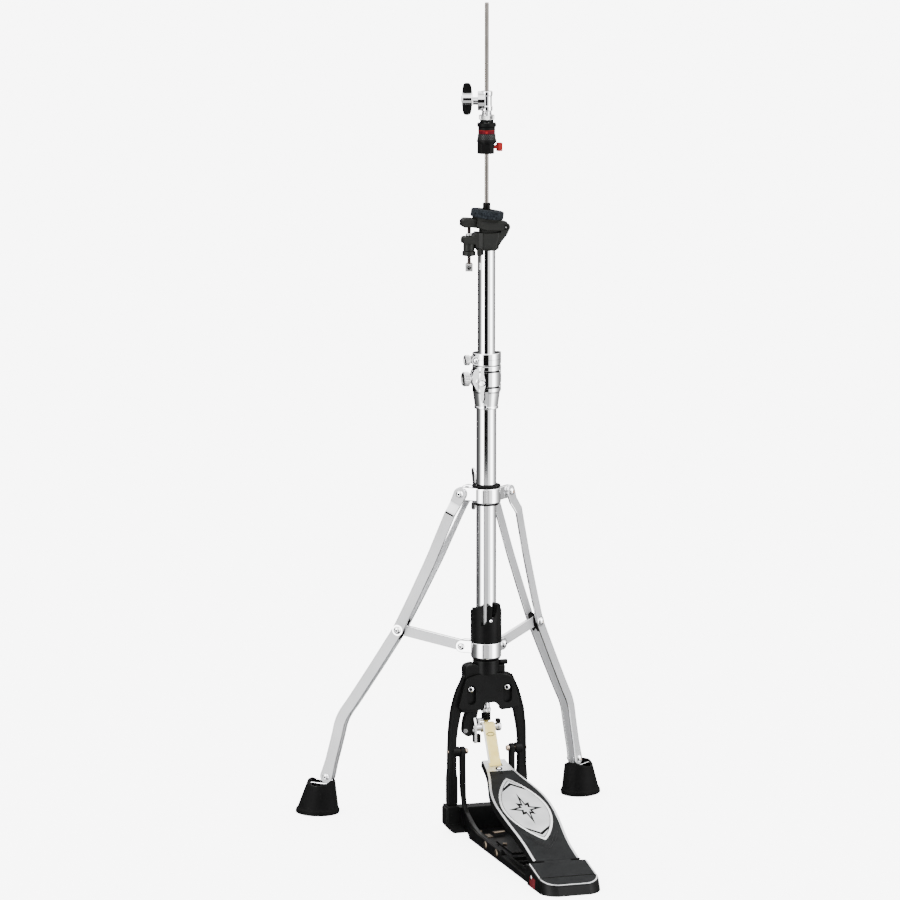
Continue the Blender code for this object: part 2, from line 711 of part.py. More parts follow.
def make_swivel_sleeve():
    """The black crown over the lower collar, whose upper rim is cut into fingers."""
    low, high = mm(275.4), mm(330)
    sleeve = ring("swivel_sleeve", mm(20.4), BASE_TUBE_R + GAP, low, high, "black_plastic", steps=24)
    cutters = []
    for bearing in (-115, -25, 65, 155):
        turn = Matrix.Rotation(math.radians(bearing), 4, "Z")
        cutters.append(block("gap", mm(8, -4.5, 299), mm(30, 4.5, 340), place=turn))
    chop = block("chop", mm(-40, -40, 0), mm(40, 40, 40),
                 place=at(0, 0, mm(324)) @ Matrix.Rotation(math.radians(10), 4, "Y"))
    return cut(sleeve, *cutters, chop)


def make_strut(side):
    """The flat link from the lower collar towards the knee."""
    name = f"strut_{'left' if side < 0 else 'right'}"
    half = mm(7.8)
    inner = arc((0, 0), half, 90, 270, 8)
    outer = arc((STRUT_LENGTH, 0), half, -90, 90, 8)
    lift = leg_place(side, *STRUT_PIVOT) @ Matrix.Rotation(-STRUT_RISE, 4, "Y")
    facing = Matrix.Rotation(math.radians(90), 4, "X")
    strut = plate(name, inner + outer, mm(5), "chrome", lift @ facing)
    eyes = [hole(lift @ facing @ at(x, 0, 0), PIN_HOLE_R, mm(10)) for x in (0, STRUT_LENGTH)]
    return cut(strut, *eyes)


def make_strut_bolt(side):
    name = f"strut_bolt_{'left' if side < 0 else 'right'}"
    return dome_bolt(name, pivot_axis(side, *STRUT_PIVOT), mm(19), mm(5.2))


# The upper tube, the memory lock and the tilting seat.


def make_upper_tube():
    return ring("upper_tube", UPPER_TUBE_R, UPPER_TUBE_BORE, *UPPER_TUBE_Z, "chrome", steps=24)


def make_memory_lock():
    low, high = MEMORY_LOCK_Z
    body = rod("memory_lock", mm(19.6), high - low, "chrome", at(0, 0, low), 24)
    ear = block("ear", mm(-26, -12.3, 674.2), mm(-13.4, 2.2, 689.2), "chrome", bevel=mm(1.9))
    join(body, ear)
    clear = hole(at(0, 0, high), UPPER_TUBE_R + GAP, mm(60), 24)
    stud = hole(at(mm(-21.3), mm(-5), mm(681.7)) @ along((1, 0, 0)), mm(2.6), mm(19))
    return cut(body, stud, clear)


def make_memory_bolt():
    place = at(mm(-26.4), mm(-5), mm(681.7)) @ along((-1, 0, 0))
    profile = [(0, mm(7.5)), (mm(6.8), mm(7.5)), (mm(7.6), mm(6)), (mm(7.6), mm(1)), (mm(6.5), 0)]
    profile += [(mm(2.2), 0), (mm(2.2), mm(-9)), (0, mm(-9))]
    return turned("memory_bolt", profile, "chrome", place, 16)


def make_tilter_base():
    """The cup on top of the tube, with a bracket for the tilt screw and an ear for the seat's pin."""
    step = UPPER_TUBE_Z[1] + GAP
    profile = [(0, mm(862)), (mm(15), mm(862)), (mm(18.5), mm(857)), (mm(17.5), mm(845))]
    profile += [(mm(15.5), mm(838.5)), (0, mm(838.5))]
    body = turned("tilter_base", profile, "black_casting", steps=24)
    bracket = block("bracket", mm(-36, -9, 831), mm(-14.5, 7, 856), bevel=mm(2))
    ears = [
        block("ear", mm(14, y0, 846), mm(30, y1, 875), bevel=mm(2))
        for y0, y1 in ((-11, -6.6), (4.6, 9))
    ]
    join(body, bracket, *ears)
    clear = hole(at(0, 0, step - mm(20)), UPPER_TUBE_R + GAP, mm(40), 24)
    bushing_way = hole(at(0, 0, step), mm(5.8), mm(40), 20)
    screw_way = hole(at(mm(-26), mm(-1), mm(844)), mm(2.8), mm(60))
    pin = hole(at(TILT_PIN.x, TILT_PIN.y, TILT_PIN.z) @ along((0, 1, 0)), mm(2.8), mm(40))
    return cut(body, clear, bushing_way, screw_way, pin)


def seat_place():
    """The seat's frame: its origin on the tilt pin, turned with the seat."""
    return at(*TILT_PIN) @ Matrix.Rotation(SEAT_TILT, 4, "Y")


def make_seat_plate():
    """The pressed dish under the felt, with a tab over the tilt screw and a knuckle for its pin."""
    local = seat_place()
    centre = local @ SEAT_CENTRE
    dish = rod("seat_plate", mm(20), mm(4.2), "black_casting", centre @ at(0, 0, mm(-1.2)), 24)
    tab = block("tab", mm(-60, -6, 5.5), mm(-38, 6, 9), "black_casting", local, mm(1))
    knuckle = block("knuckle", mm(-12, -5.2, -4.5), mm(5.5, 5.2, 9.5), "black_casting", local, mm(1.5))
    join(dish, tab, knuckle)
    pin = hole(local @ along((0, 1, 0)), mm(2.8), mm(40))
    way = hole(centre, mm(9.2), mm(30), 24)
    return cut(dish, pin, way)


def make_seat_felt():
    centre = seat_place() @ SEAT_CENTRE
    profile = [(mm(8.8), mm(13)), (mm(21.5), mm(13)), (mm(23.3), mm(11)), (mm(23.3), mm(5.3))]
    profile += [(mm(21.5), mm(3.3)), (mm(8.8), mm(3.3))]
    return turned("seat_felt", profile, "dark_felt", centre, 36)


def make_seat_bushing():
    """The upright sleeve that guides the pull rod through the seat."""
    profile = [(PULL_ROD_R + GAP, mm(903)), (mm(5.2), mm(903)), (mm(5.4), mm(901)), (mm(5.4), mm(850.7))]
    profile += [(PULL_ROD_R + GAP, mm(850.7))]
    return turned("seat_bushing", profile, "black_plastic", steps=20)


def make_tilt_screw():
    """The drum-key screw under the tab: a square head, a collar and a plain stud."""
    place = at(mm(-26), mm(-1), mm(808))
    profile = [(0, mm(72.4)), (mm(2.3), mm(72.4)), (mm(2.3), mm(10)), (mm(4.6), mm(10)), (mm(4.6), mm(7))]
    profile += [(0, mm(7))]
    body = turned("tilt_screw", profile, "chrome", place, 12)
    return join(body, block("head", mm(-3.2, -3.2, 0), mm(3.2, 3.2, 8), "chrome", place))


# The pull rod, the strap drive, the pedal and the clutch.


def make_pull_rod():
    length = PULL_ROD_Z[1] - PULL_ROD_Z[0]
    profile = [(0, length), (mm(2.2), length), (PULL_ROD_R, length - mm(2)), (PULL_ROD_R, 0), (0, 0)]
    return turned("pull_rod", profile, "chrome", at(0, 0, PULL_ROD_Z[0]), 16)


def make_lower_rod():
    """The thick lower half of the pull rod, with a collar for the return spring."""
    profile = [(0, mm(300)), (LOWER_ROD_R, mm(300)), (LOWER_ROD_R, mm(291)), (mm(10.5), mm(291))]
    profile += [(mm(10.5), mm(287)), (LOWER_ROD_R, mm(287)), (LOWER_ROD_R, mm(178.8)), (0, mm(178.8))]
    return turned("lower_rod", profile, "chrome", steps=20)


def make_rod_nut():
    profile = [(0, mm(178.5)), (mm(6.4), mm(178.5)), (mm(6.4), mm(172.5)), (0, mm(172.5))]
    return turned("rod_nut", profile, "chrome", steps=6)


def make_return_spring():
    """The coil inside the tube that lifts the rod: from the head's floor to the rod's collar."""
    turns, per_turn = 7, 9
    low, high, radius = mm(206.2), mm(285.6), mm(9.2)
    points = []
    for i in range(turns * per_turn + 1):
        share = i / (turns * per_turn)
        angle = 2 * math.pi * turns * share
        points.append((radius * math.cos(angle), radius * math.sin(angle), low + (high - low) * share))
    return wire("return_spring", points, mm(1.1), "bare_steel", resolution=0)


def make_strap_hub():
    """The swivel under the rod: an axle along X, its yoke, and a cheek with a pointer at the left."""
    axle = rod("strap_hub", HUB_R, mm(35), "chrome", at(mm(-16), HUB.y, HUB.z) @ along((1, 0, 0)), 20)
    neck = block("neck", mm(-16, -12, 146), mm(-10.5, 4, 164), "chrome", bevel=mm(1))
    bridge = block("bridge", mm(-16, -4, 160.2), mm(6, 4, 165), "chrome", bevel=mm(1))
    stem = rod("stem", mm(6.8), mm(9), "chrome", at(0, 0, mm(163.2)), 16)
    cheek_outline = [(mm(-18), mm(137)), (mm(-6), mm(137)), (mm(-6), mm(160))]
    cheek_outline += [(mm(-13), mm(172)), (mm(-18), mm(158))]
    cheek = plate("cheek", cheek_outline, mm(3), "chrome", at(mm(-17.4), 0, 0) @ SIDEWAYS)
    return join(axle, neck, bridge, stem, cheek)


def strap_foot():
    """Where the strap meets the footboard."""
    y = HEEL_HINGE.y + STRAP_FOOT_U * math.cos(BOARD_SLOPE)
    z = HEEL_HINGE.z + STRAP_FOOT_U * math.sin(BOARD_SLOPE)
    return y, z


def make_strap():
    """The webbing loop over the hub and its tail down to the footboard, seen along X."""
    inner, outer = HUB_R + GAP, HUB_R + GAP + STRAP_THICKNESS
    foot_y, foot_z = strap_foot()
    drop = Vector((foot_y - HUB.y + inner, foot_z - HUB.z))
    lean = math.degrees(math.atan2(drop.y, drop.x))
    start, end = -80, lean + 270
    over = arc((HUB.y, HUB.z), outer, start, end, 12)
    under = arc((HUB.y, HUB.z), inner, end, start, 12)
    down = drop.normalized() * (drop.length + mm(7))
    outline = over + [(y + down.x, z + down.y) for y, z in (over[-1], under[0])]
    outline += under
    return plate("strap", outline, STRAP_WIDTH, "strap_webbing", at(HUB.x, 0, 0) @ SIDEWAYS)


def board_half_width(u):
    """Half the footboard's width at distance u from the hinge: broad at the middle, waisted at the toe."""
    stations = [(0, mm(34.5)), (mm(60), mm(36.5)), (mm(120), mm(41)), (mm(150), mm(42)), (mm(175), mm(40))]
    stations += [(mm(205), mm(34)), (mm(235), mm(26.5)), (mm(262), mm(21.8)), (BOARD_LENGTH, mm(20.5))]
    return between(stations, u)


def board_outline(inset=0.0, start=0.0, end=BOARD_LENGTH, count=20):
    """The footboard's outline, X across and Y along it from the hinge."""
    right = []
    for i in range(count + 1):
        u = start + (end - start) * i / count
        right.append((board_half_width(u) - inset, u))
    return mirrored(right)


def board_place():
    """The footboard's frame: its origin on the hinge, Y up the slope, Z out of its top."""
    return at(*HEEL_HINGE) @ Matrix.Rotation(BOARD_SLOPE, 4, "X")


def make_footboard():
    """The footboard casting: a shallow tray, open below, with a slot for the strap at the toe."""
    local = board_place()
    body = plate("footboard", board_outline(start=mm(3)), BOARD_DEPTH, "silver_paint",
                 local @ at(0, 0, -BOARD_DEPTH / 2))
    knuckle = block("knuckle", mm(-34, -6, -17), mm(34, 8, -2), "silver_paint", local, mm(3))
    under = plate("under", board_outline(mm(3.2), mm(9), mm(272)), mm(12), "silver_paint",
                  local @ at(0, 0, mm(-4) - mm(6)))
    slot = block("slot", mm(-10.6, 276, -20), mm(7.6, 286, 10), "silver_paint", local)
    join(body, knuckle)
    pin = hole(at(0, HEEL_HINGE.y, mm(19)) @ along((1, 0, 0)), mm(2.8), mm(100))
    bolt_way = hole(local @ at(0, mm(268), 0), mm(2.6), mm(40))
    return cut(body, under, slot, pin, bolt_way)


def make_traction_pad():
    """The black tread on the footboard, set in from its silver rim."""
    local = board_place()
    outline = board_outline(mm(2.6), mm(4), mm(258))
    return plate("traction_pad", outline, mm(1), "black_rubber", local @ at(0, 0, REST_GAP + mm(0.5)))


def make_toe_bolt():
    local = board_place()
    profile = [(0, mm(3)), (mm(2.6), mm(2.7)), (mm(4.6), mm(1)), (mm(4.6), REST_GAP), (mm(2.2), REST_GAP)]
    profile += [(mm(2.2), mm(-9)), (0, mm(-9))]
    return turned("toe_bolt", profile, "chrome", local @ at(0, mm(268), 0), 16)


def make_clutch_body():
    """The T-shaped clamp on the rod and the threaded sleeve that hangs from it."""
    body = turned(
        "clutch_body",
        [(0, mm(1060)), (mm(8.6), mm(1060)), (mm(10), mm(1058)), (mm(10), mm(1034)),
         (mm(6.6), mm(1031)), (mm(6.6), mm(974)), (0, mm(974))],
        "chrome", steps=24,
    )
    side = CLUTCH_TURN @ at(0, 0, mm(1049)) @ along((-1, 0, 0))
    neck = rod("neck", mm(5.5), mm(14), "chrome", side @ at(0, 0, mm(6)), 16)
    join(body, neck)
    clear = hole(at(0, 0, mm(1017)), PULL_ROD_R + GAP, mm(120), 24)
    stud = hole(side @ at(0, 0, mm(12)), mm(2.9), mm(17))
    return cut(body, clear, stud)


def make_clutch_wing():
    """The wing screw at the clutch's left, with a rubber grip on each wing."""
    place = CLUTCH_TURN @ at(mm(-20.4), 0, mm(1049)) @ along((-1, 0, 0))
    profile = [(0, mm(15)), (mm(5.5), mm(15)), (mm(6.5), mm(13))]
    profile += [(mm(6.5), mm(1)), (mm(5.5), 0), (mm(2.5), 0)]
    body = turned("clutch_wing", profile + [(mm(2.5), mm(-12)), (0, mm(-12))], "chrome", place, 16)
    wings = [
        block("wing", (mm(-3.2), min(a, b), mm(2)), (mm(3.2), max(a, b), mm(14)), "chrome", place, mm(2))
        for a, b in ((mm(4), mm(23)), (mm(-4), mm(-23)))
    ]
    return join(body, *wings)


def make_clutch_nut():
    inner = mm(6.6) + GAP
    profile = [(inner, mm(1027)), (mm(10.4), mm(1027)), (mm(11), mm(1026))]
    profile += [(mm(11), mm(1020.5)), (mm(10), mm(1020))]
    profile += [(mm(10), mm(1016)), (inner, mm(1016))]
    return turned("clutch_nut", profile, "bare_steel", steps=20)


def make_clutch_sleeve():
    """The black waisted sleeve that holds the top cymbal's felts."""
    inner = mm(6.6) + GAP
    profile = [(inner, mm(1015.6)), (mm(13.4), mm(1015.6)), (mm(13.4), mm(1011)), (mm(11.6), mm(1009))]
    profile += [(mm(10.8), mm(1001)), (mm(11.6), mm(993)), (mm(14), mm(991.5)), (mm(14), mm(988.3))]
    profile += [(inner, mm(988.3))]
    return turned("clutch_sleeve", profile, "black_plastic", steps=20)


def make_clutch_base():
    inner = mm(6.6) + GAP
    profile = [(inner, mm(988)), (mm(12.4), mm(988)), (mm(12.8), mm(986))]
    profile += [(mm(12.8), mm(974)), (mm(11.8), CLUTCH_Z)]
    return turned("clutch_base", profile + [(inner, CLUTCH_Z)], "black_plastic", steps=20)


def make_clutch_release():
    """The red tab that frees the clutch, beside its base."""
    return block("clutch_release", mm(13.2, -6, 975), mm(21.5, 4, 987), "red_plastic", bevel=mm(2))


# Assembly.


def build():
    clear_scene()
    add_materials()
    add_joint("frame", Vector())
    add_joint("leg_swivel", mm(0, 0, 265), "frame")
    add_joint("collar_slide", mm(0, 0, 489), "leg_swivel")
    add_joint("collar_wing_turn", mm(0, 16, 487), "collar_slide")
    add_joint("tube_height", mm(0, 0, 668), "frame")
    add_joint("memory_lock_slide", mm(0, 0, 681.7), "tube_height")
    add_joint("memory_bolt_turn", mm(-26.4, -5, 681.7), "memory_lock_slide")
    add_joint("clamp_knob_turn", mm(-27.4, -6, 655), "frame")
    add_joint("seat_tilt", TILT_PIN, "tube_height")
    add_joint("tilt_screw_travel", mm(-26, -1, 808), "tube_height")
    add_joint("footboard_press", Vector((0, HEEL_HINGE.y, mm(19))), "frame")
    add_joint("rod_pull", mm(0, 0, 180), "frame")
    add_joint("strap_swing", HUB, "rod_pull")
    add_joint("clutch_slide", mm(0, 0, 1049), "rod_pull")
    add_joint("clutch_wing_turn", CLUTCH_TURN @ mm(-20.4, 0, 1049), "clutch_slide")
    add_joint("clutch_nut_turn", mm(0, 0, 1020), "clutch_slide")
    add_joint("clutch_release_turn", mm(0, 0, 981), "clutch_slide")

    base_tube = ring("base_tube", BASE_TUBE_R, BASE_TUBE_BORE, *BASE_TUBE_Z, "chrome", steps=24)
    carry("frame", make_a_frame(), make_base_bar(), base_tube, make_height_clamp(), make_base_plate())
    carry("frame", make_heel_plate(), make_heel_pin(), make_return_spring())
    carry("clamp_knob_turn", make_clamp_knob())
    carry("leg_swivel", make_lower_collar(), make_swivel_sleeve())
    carry("collar_slide", make_upper_collar(), make_collar_gasket())
    carry("collar_wing_turn", make_collar_wing_bolt())
    for side in (-1, 1):
        hand = "left" if side < 0 else "right"
        add_joint(f"leg_{hand}_fold", pivot_axis(side, *COLLAR_PIVOT).translation, "collar_slide")
        add_joint(f"strut_{hand}_fold", pivot_axis(side, *STRUT_PIVOT).translation, "leg_swivel")
        carry("frame", make_head_screw(side), make_bearing(side))
        carry("frame", make_radius_rod(side), make_rod_bolt(side))
        carry("leg_swivel", make_strut_bolt(side))
        carry("collar_slide", make_leg_bolt(side))
        carry(f"leg_{hand}_fold", make_foot(side), make_foot_bolt(side))
        carry(f"leg_{hand}_fold", *(make_leg_bar(side, kind) for kind in ("outer", "inner")))
        carry(f"leg_{hand}_fold", make_knee_bolt(side))
        carry(f"strut_{hand}_fold", make_strut(side))
    carry("tube_height", make_upper_tube(), make_tilter_base(), make_seat_bushing())
    carry("memory_lock_slide", make_memory_lock())
    carry("memory_bolt_turn", make_memory_bolt())
    carry("seat_tilt", make_seat_plate(), make_seat_felt())
    carry("tilt_screw_travel", make_tilt_screw())
    carry("rod_pull", make_pull_rod(), make_lower_rod(), make_rod_nut(), make_strap_hub())
    carry("strap_swing", make_strap())
    carry("footboard_press", make_footboard(), make_traction_pad(), make_toe_bolt())
    carry("clutch_slide", make_clutch_body(), make_clutch_sleeve(), make_clutch_base())
    carry("clutch_wing_turn", make_clutch_wing())
    carry("clutch_nut_turn", make_clutch_nut())
    carry("clutch_release_turn", make_clutch_release())


build()
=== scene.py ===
"""Looks for the hi-hat stand: fine geometry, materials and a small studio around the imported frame.

The script works in the frame's own axes, in metres; shapes are written in millimetres and scaled by MM.
Each piece rides on the CAD body named in its show() call, which also lists the CAD nodes it stands for.
"""

import math

import bmesh
import bpy
from mathutils import Matrix, Vector, noise


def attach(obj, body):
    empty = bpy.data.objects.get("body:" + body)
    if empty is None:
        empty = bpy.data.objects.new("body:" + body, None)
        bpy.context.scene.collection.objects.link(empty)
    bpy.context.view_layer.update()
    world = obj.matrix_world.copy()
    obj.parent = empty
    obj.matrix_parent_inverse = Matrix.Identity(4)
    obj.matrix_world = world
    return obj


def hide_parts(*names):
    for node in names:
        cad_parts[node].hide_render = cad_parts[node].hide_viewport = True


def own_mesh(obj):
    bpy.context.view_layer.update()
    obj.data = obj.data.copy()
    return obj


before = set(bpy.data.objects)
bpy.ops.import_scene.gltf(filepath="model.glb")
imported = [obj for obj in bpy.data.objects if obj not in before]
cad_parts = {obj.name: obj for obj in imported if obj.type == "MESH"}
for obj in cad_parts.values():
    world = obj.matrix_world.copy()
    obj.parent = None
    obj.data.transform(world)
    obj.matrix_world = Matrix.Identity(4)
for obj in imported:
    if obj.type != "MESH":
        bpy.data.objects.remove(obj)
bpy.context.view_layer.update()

MM = 0.001
CAMERA_BEARING = math.radians(18)
LEG_BEARING = math.radians(50)
BOARD_SLOPE = math.radians(15.3)
SEAT_TILT = math.radians(7.5)
COLLAR_PIVOT, KNEE, FOOT_BOLT = (31.6, 489), (133, 282), (247, 56)
STRUT_PIVOT, STRUT_LENGTH, STRUT_RISE = (35, 266), 99, math.radians(9.3)
FOOT_R, BAR_HALF = 264, 9.5
SIDES = ((-1, "left"), (1, "right"))
STRAP_AXLE = (-10, 152)
TILT_SCREW = (-26, -1, 0)
HINGE, STRAP_REACH = (-315, 30), 283
WING_AXIS, RIGHT = (-0.087, 1, 0), (1, 0, 0)
SIDE_BOLT = (-5, 118)
SKY_LIGHT, FLOOR_LIFT, FLOOR_HALF = 2.6, 5.5, 30
CAMERA_PLACE, CAMERA_TURN, LENS, SENSOR = (-2.163, -6.657, 1.750), (80.28, 0, -17.58), 200.8, 36


def mm(*values):
    return Vector([value * MM for value in values])


# Placement matrices, in the frame's axes.


def at(x, y, z):
    return Matrix.Translation(mm(x, y, z))


def along(direction):
    """The rotation that turns +Z to direction."""
    return Vector(direction).to_track_quat("Z", "Y").to_matrix().to_4x4()


def spin(degrees, axis="Z"):
    return Matrix.Rotation(math.radians(degrees), 4, axis)


SIDEWAYS = Matrix(((0, 0, 1, 0), (1, 0, 0, 0), (0, 1, 0, 0), (0, 0, 0, 1)))
UPRIGHT = spin(90, "X")
WING_TURN = Matrix(((-1, 0, 0, 0), (0, 0, 1, 0), (0, 1, 0, 0), (0, 0, 0, 1)))
TO_CAMERA = Matrix.Rotation(-CAMERA_BEARING, 4, "Z")
BOARD = at(0, *HINGE) @ Matrix.Rotation(BOARD_SLOPE, 4, "X")
HEEL = BOARD @ spin(-2.6, "X")
SEAT = at(24, -1, 869) @ Matrix.Rotation(SEAT_TILT, 4, "Y")


def on_leg(side, radius=0, height=0):
    """X outwards along the leg's bearing, Z up."""
    return Matrix.Rotation(math.pi / 2 - side * LEG_BEARING, 4, "Z") @ at(radius, 0, height)


def leg_pin(side, radius, height, w=0):
    """Z along a leg's pivot, towards the player; w is an offset that way."""
    return on_leg(side, radius, height) @ at(0, -side * w, 0) @ spin(90 * side, "X")


def leg_face(side):
    """X outwards along the leg and Y up; Z is across it, away from the leg's own front face."""
    return on_leg(side) @ spin(90, "X") @ Matrix.Diagonal((1, 1, side, 1))


# Meshes. Lengths are in millimetres; place turns the shape's own axes into the world's.


def finished(work, place):
    bmesh.ops.remove_doubles(work, verts=work.verts, dist=0.0005)
    work.transform(place @ Matrix.Scale(MM, 4))
    bmesh.ops.recalc_face_normals(work, faces=work.faces)
    mesh = bpy.data.meshes.new("shape")
    work.to_mesh(mesh)
    work.free()
    return mesh


def soften(points, radius, closed=False, steps=4):
    """The polyline with each corner replaced by a small curve that starts radius from it."""
    count = len(points)
    made = []
    for i, corner in enumerate(points):
        if not closed and i in (0, count - 1):
            made.append(tuple(corner))
            continue
        corner, before, after = Vector(corner), Vector(points[i - 1]), Vector(points[(i + 1) % count])
        a = corner + (before - corner) * min(0.48, radius / max((before - corner).length, 1e-6))
        b = corner + (after - corner) * min(0.48, radius / max((after - corner).length, 1e-6))
        for k in range(steps + 1):
            t = k / steps
            made.append(tuple(a * (1 - t) ** 2 + corner * 2 * t * (1 - t) + b * t * t))
    return made


def arc(centre, radius, start, end, count=16):
    made = []
    for i in range(count + 1):
        angle = math.radians(start + (end - start) * i / count)
        made.append((centre[0] + radius * math.cos(angle), centre[1] + radius * math.sin(angle)))
    return made


def mirror(points):
    """Half an outline and its mirror image; a point on the middle line isn't repeated."""
    return points + [(-x, y) for x, y in reversed(points) if abs(x) > 1e-9]


def lathe(profile, place=Matrix(), steps=64, ripples=0, depth=0.0, rippled=1e9):
    """A profile of (radius, height) points turned about Z; rings beyond radius `rippled` are fluted."""
    work = bmesh.new()
    rings = []
    for radius, height in profile:
        if radius < 1e-6:
            rings.append([work.verts.new((0, 0, height))] * steps)
            continue
        ring = []
        for i in range(steps):
            angle = 2 * math.pi * i / steps
            r = radius
            if radius >= rippled:
                r -= depth * (0.5 + 0.5 * math.cos(ripples * angle))
            ring.append(work.verts.new((r * math.cos(angle), r * math.sin(angle), height)))
        rings.append(ring)
    pairs = list(zip(rings, rings[1:]))
    if profile[0][0] > 1e-6:
        pairs.append((rings[-1], rings[0]))
    for upper, lower in pairs:
        for i in range(steps):
            j = (i + 1) % steps
            corners = list(dict.fromkeys((upper[i], upper[j], lower[j], lower[i])))
            if len(corners) > 2:
                work.faces.new(corners)
    return finished(work, place)


def tube(outer, inner, low, high, place=Matrix(), round_by=0.6, steps=64):
    profile = soften([(inner, high), (outer, high), (outer, low), (inner, low)], round_by, True, 3)
    return lathe(profile, place, steps)


def rounded_rod(radius, low, high, place=Matrix(), round_by=0.6, steps=48):
    corners = [(0, high), (radius, high), (radius, low), (0, low)]
    return lathe(soften(corners, round_by, False, 3), place, steps)


def peg(spot, direction, radius, length, round_by=0.6, steps=48):
    return rounded_rod(radius, 0, length, at(*spot) @ along(direction), round_by, steps)


def bevel_sharp(work, width, segments):
    edges = [e for e in work.edges if len(e.link_faces) == 2 and e.calc_face_angle(0) > math.radians(32)]
    if edges:
        bmesh.ops.bevel(work, geom=edges, offset=width, segments=segments, profile=0.5,
                        affect="EDGES", clamp_overlap=True)


def prism(outline, low, high, place=Matrix(), bevel=0.0, segments=3):
    """An XY outline given a thickness along Z, with its edges rounded."""
    work = bmesh.new()
    face = work.faces.new([work.verts.new((x, y, low)) for x, y in outline])
    made = bmesh.ops.extrude_face_region(work, geom=[face])
    raised = [item for item in made["geom"] if isinstance(item, bmesh.types.BMVert)]
    bmesh.ops.translate(work, verts=raised, vec=(0, 0, high - low))
    bmesh.ops.recalc_face_normals(work, faces=work.faces)
    if bevel:
        bevel_sharp(work, bevel, segments)
    return finished(work, place)


def cuboid(low, high, place=Matrix(), bevel=0.8, segments=3):
    outline = [(low[0], low[1]), (high[0], low[1]), (high[0], high[1]), (low[0], high[1])]
    return prism(outline, low[2], high[2], place, bevel, segments)


def flank(side, near, far, low, high, place=Matrix(), bevel=0.8):
    """A cuboid from near to far on one side of the middle; low and high are its (y, z) corners."""
    x0, x1 = sorted((side * near, side * far))
    return cuboid((x0, *low), (x1, *high), place, bevel)


def sweep(points, radius, place=Matrix(), sides=16, closed=False):
    """A round wire along points."""
    work = bmesh.new()
    points = [Vector(p) for p in points]
    count = len(points)
    rings = []
    for i, point in enumerate(points):
        before = points[i - 1] if i or closed else point
        after = points[(i + 1) % count] if i < count - 1 or closed else point
        turn = (after - before).to_track_quat("Z", "Y")
        rings.append([
            work.verts.new(point + turn @ Vector((radius * math.cos(a), radius * math.sin(a), 0)))
            for a in (2 * math.pi * k / sides for k in range(sides))
        ])
    for a, b in zip(rings, rings[1:] + ([rings[0]] if closed else [])):
        for k in range(sides):
            work.faces.new((a[k], a[(k + 1) % sides], b[(k + 1) % sides], b[k]))
    if not closed:
        work.faces.new(list(reversed(rings[0])))
        work.faces.new(rings[-1])
    return finished(work, place)


def rows(loops, place=Matrix(), cap_start=True, cap_end=True):
    """A skin over closed loops of the same length, one after another."""
    work = bmesh.new()
    made = [[work.verts.new(p) for p in loop] for loop in loops]
    for a, b in zip(made, made[1:]):
        for k in range(len(a)):
            j = (k + 1) % len(a)
            work.faces.new((a[k], a[j], b[j], b[k]))
    if cap_start:
        work.faces.new(list(reversed(made[0])))
    if cap_end:
        work.faces.new(made[-1])
    return finished(work, place)


def merged(meshes):
    work = bmesh.new()
    for mesh in meshes:
        work.from_mesh(mesh)
    mesh = bpy.data.meshes.new("merged")
    work.to_mesh(mesh)
    work.free()
    return mesh


def boolean(meshes, cutters):
    """The meshes, each cut by every cutter."""
    made = []
    for mesh in meshes:
        obj = bpy.data.objects.new("work", mesh)
        bpy.context.scene.collection.objects.link(obj)
        tools = []
        for cutter in cutters:
            tool = bpy.data.objects.new("tool", cutter)
            bpy.context.scene.collection.objects.link(tool)
            modifier = obj.modifiers.new("cut", "BOOLEAN")
            modifier.operation = "DIFFERENCE"
            modifier.object = tool
            tools.append(tool)
        bpy.context.view_layer.update()
        evaluated = obj.evaluated_get(bpy.context.evaluated_depsgraph_get())
        made.append(bpy.data.meshes.new_from_object(evaluated))
        for used in (obj, *tools):
            bpy.data.objects.remove(used)
    return made


# Materials, by the name of their paint, and the record's slot for each.


PAINT, SLOTS = {}, {}


def grey(value, tint=0.0):
    return (value, value + tint * 0.3, value + tint)


def set_input(tree, socket, value):
    """Links the socket when the value is another node's output."""
    if isinstance(value, bpy.types.NodeSocket):
        tree.links.new(value, socket)
    else:
        socket.default_value = value


def set_inputs(tree, made, **inputs):
    for name, value in inputs.items():
        set_input(tree, made.inputs[name.replace("_", " ")], value)
    return made


def node(tree, kind, **inputs):
    return set_inputs(tree, tree.nodes.new("ShaderNode" + kind), **inputs)


def operated(tree, kind, operation, *values):
    """A maths node, with its inputs given in order."""
    made = tree.nodes.new("ShaderNode" + kind)
    made.operation = operation
    for socket, value in zip(made.inputs, values):
        set_input(tree, socket, value)
    return made


def blended(tree, kind, first, second):
    made = node(tree, "MixRGB", Fac=1, Color1=first, Color2=second)
    made.blend_type = kind
    return made.outputs["Color"]


def noise_of(tree, scale, detail):
    place = node(tree, "TexCoord").outputs["Object"]
    return node(tree, "TexNoise", Scale=scale, Detail=detail, Vector=place).outputs["Fac"]


def ramp(tree, source, stops):
    made = node(tree, "ValToRGB", Fac=source)
    elements = made.color_ramp.elements
    elements.remove(elements[1])
    elements[0].position, elements[0].color = stops[0][0], (*stops[0][1], 1)
    for position, color in stops[1:]:
        elements.new(position).color = (*color, 1)
    return made.outputs["Color"]


def blank(name):
    made = bpy.data.materials.new(name)
    made.use_nodes = True
    return made, made.node_tree, made.node_tree.nodes["Principled BSDF"]


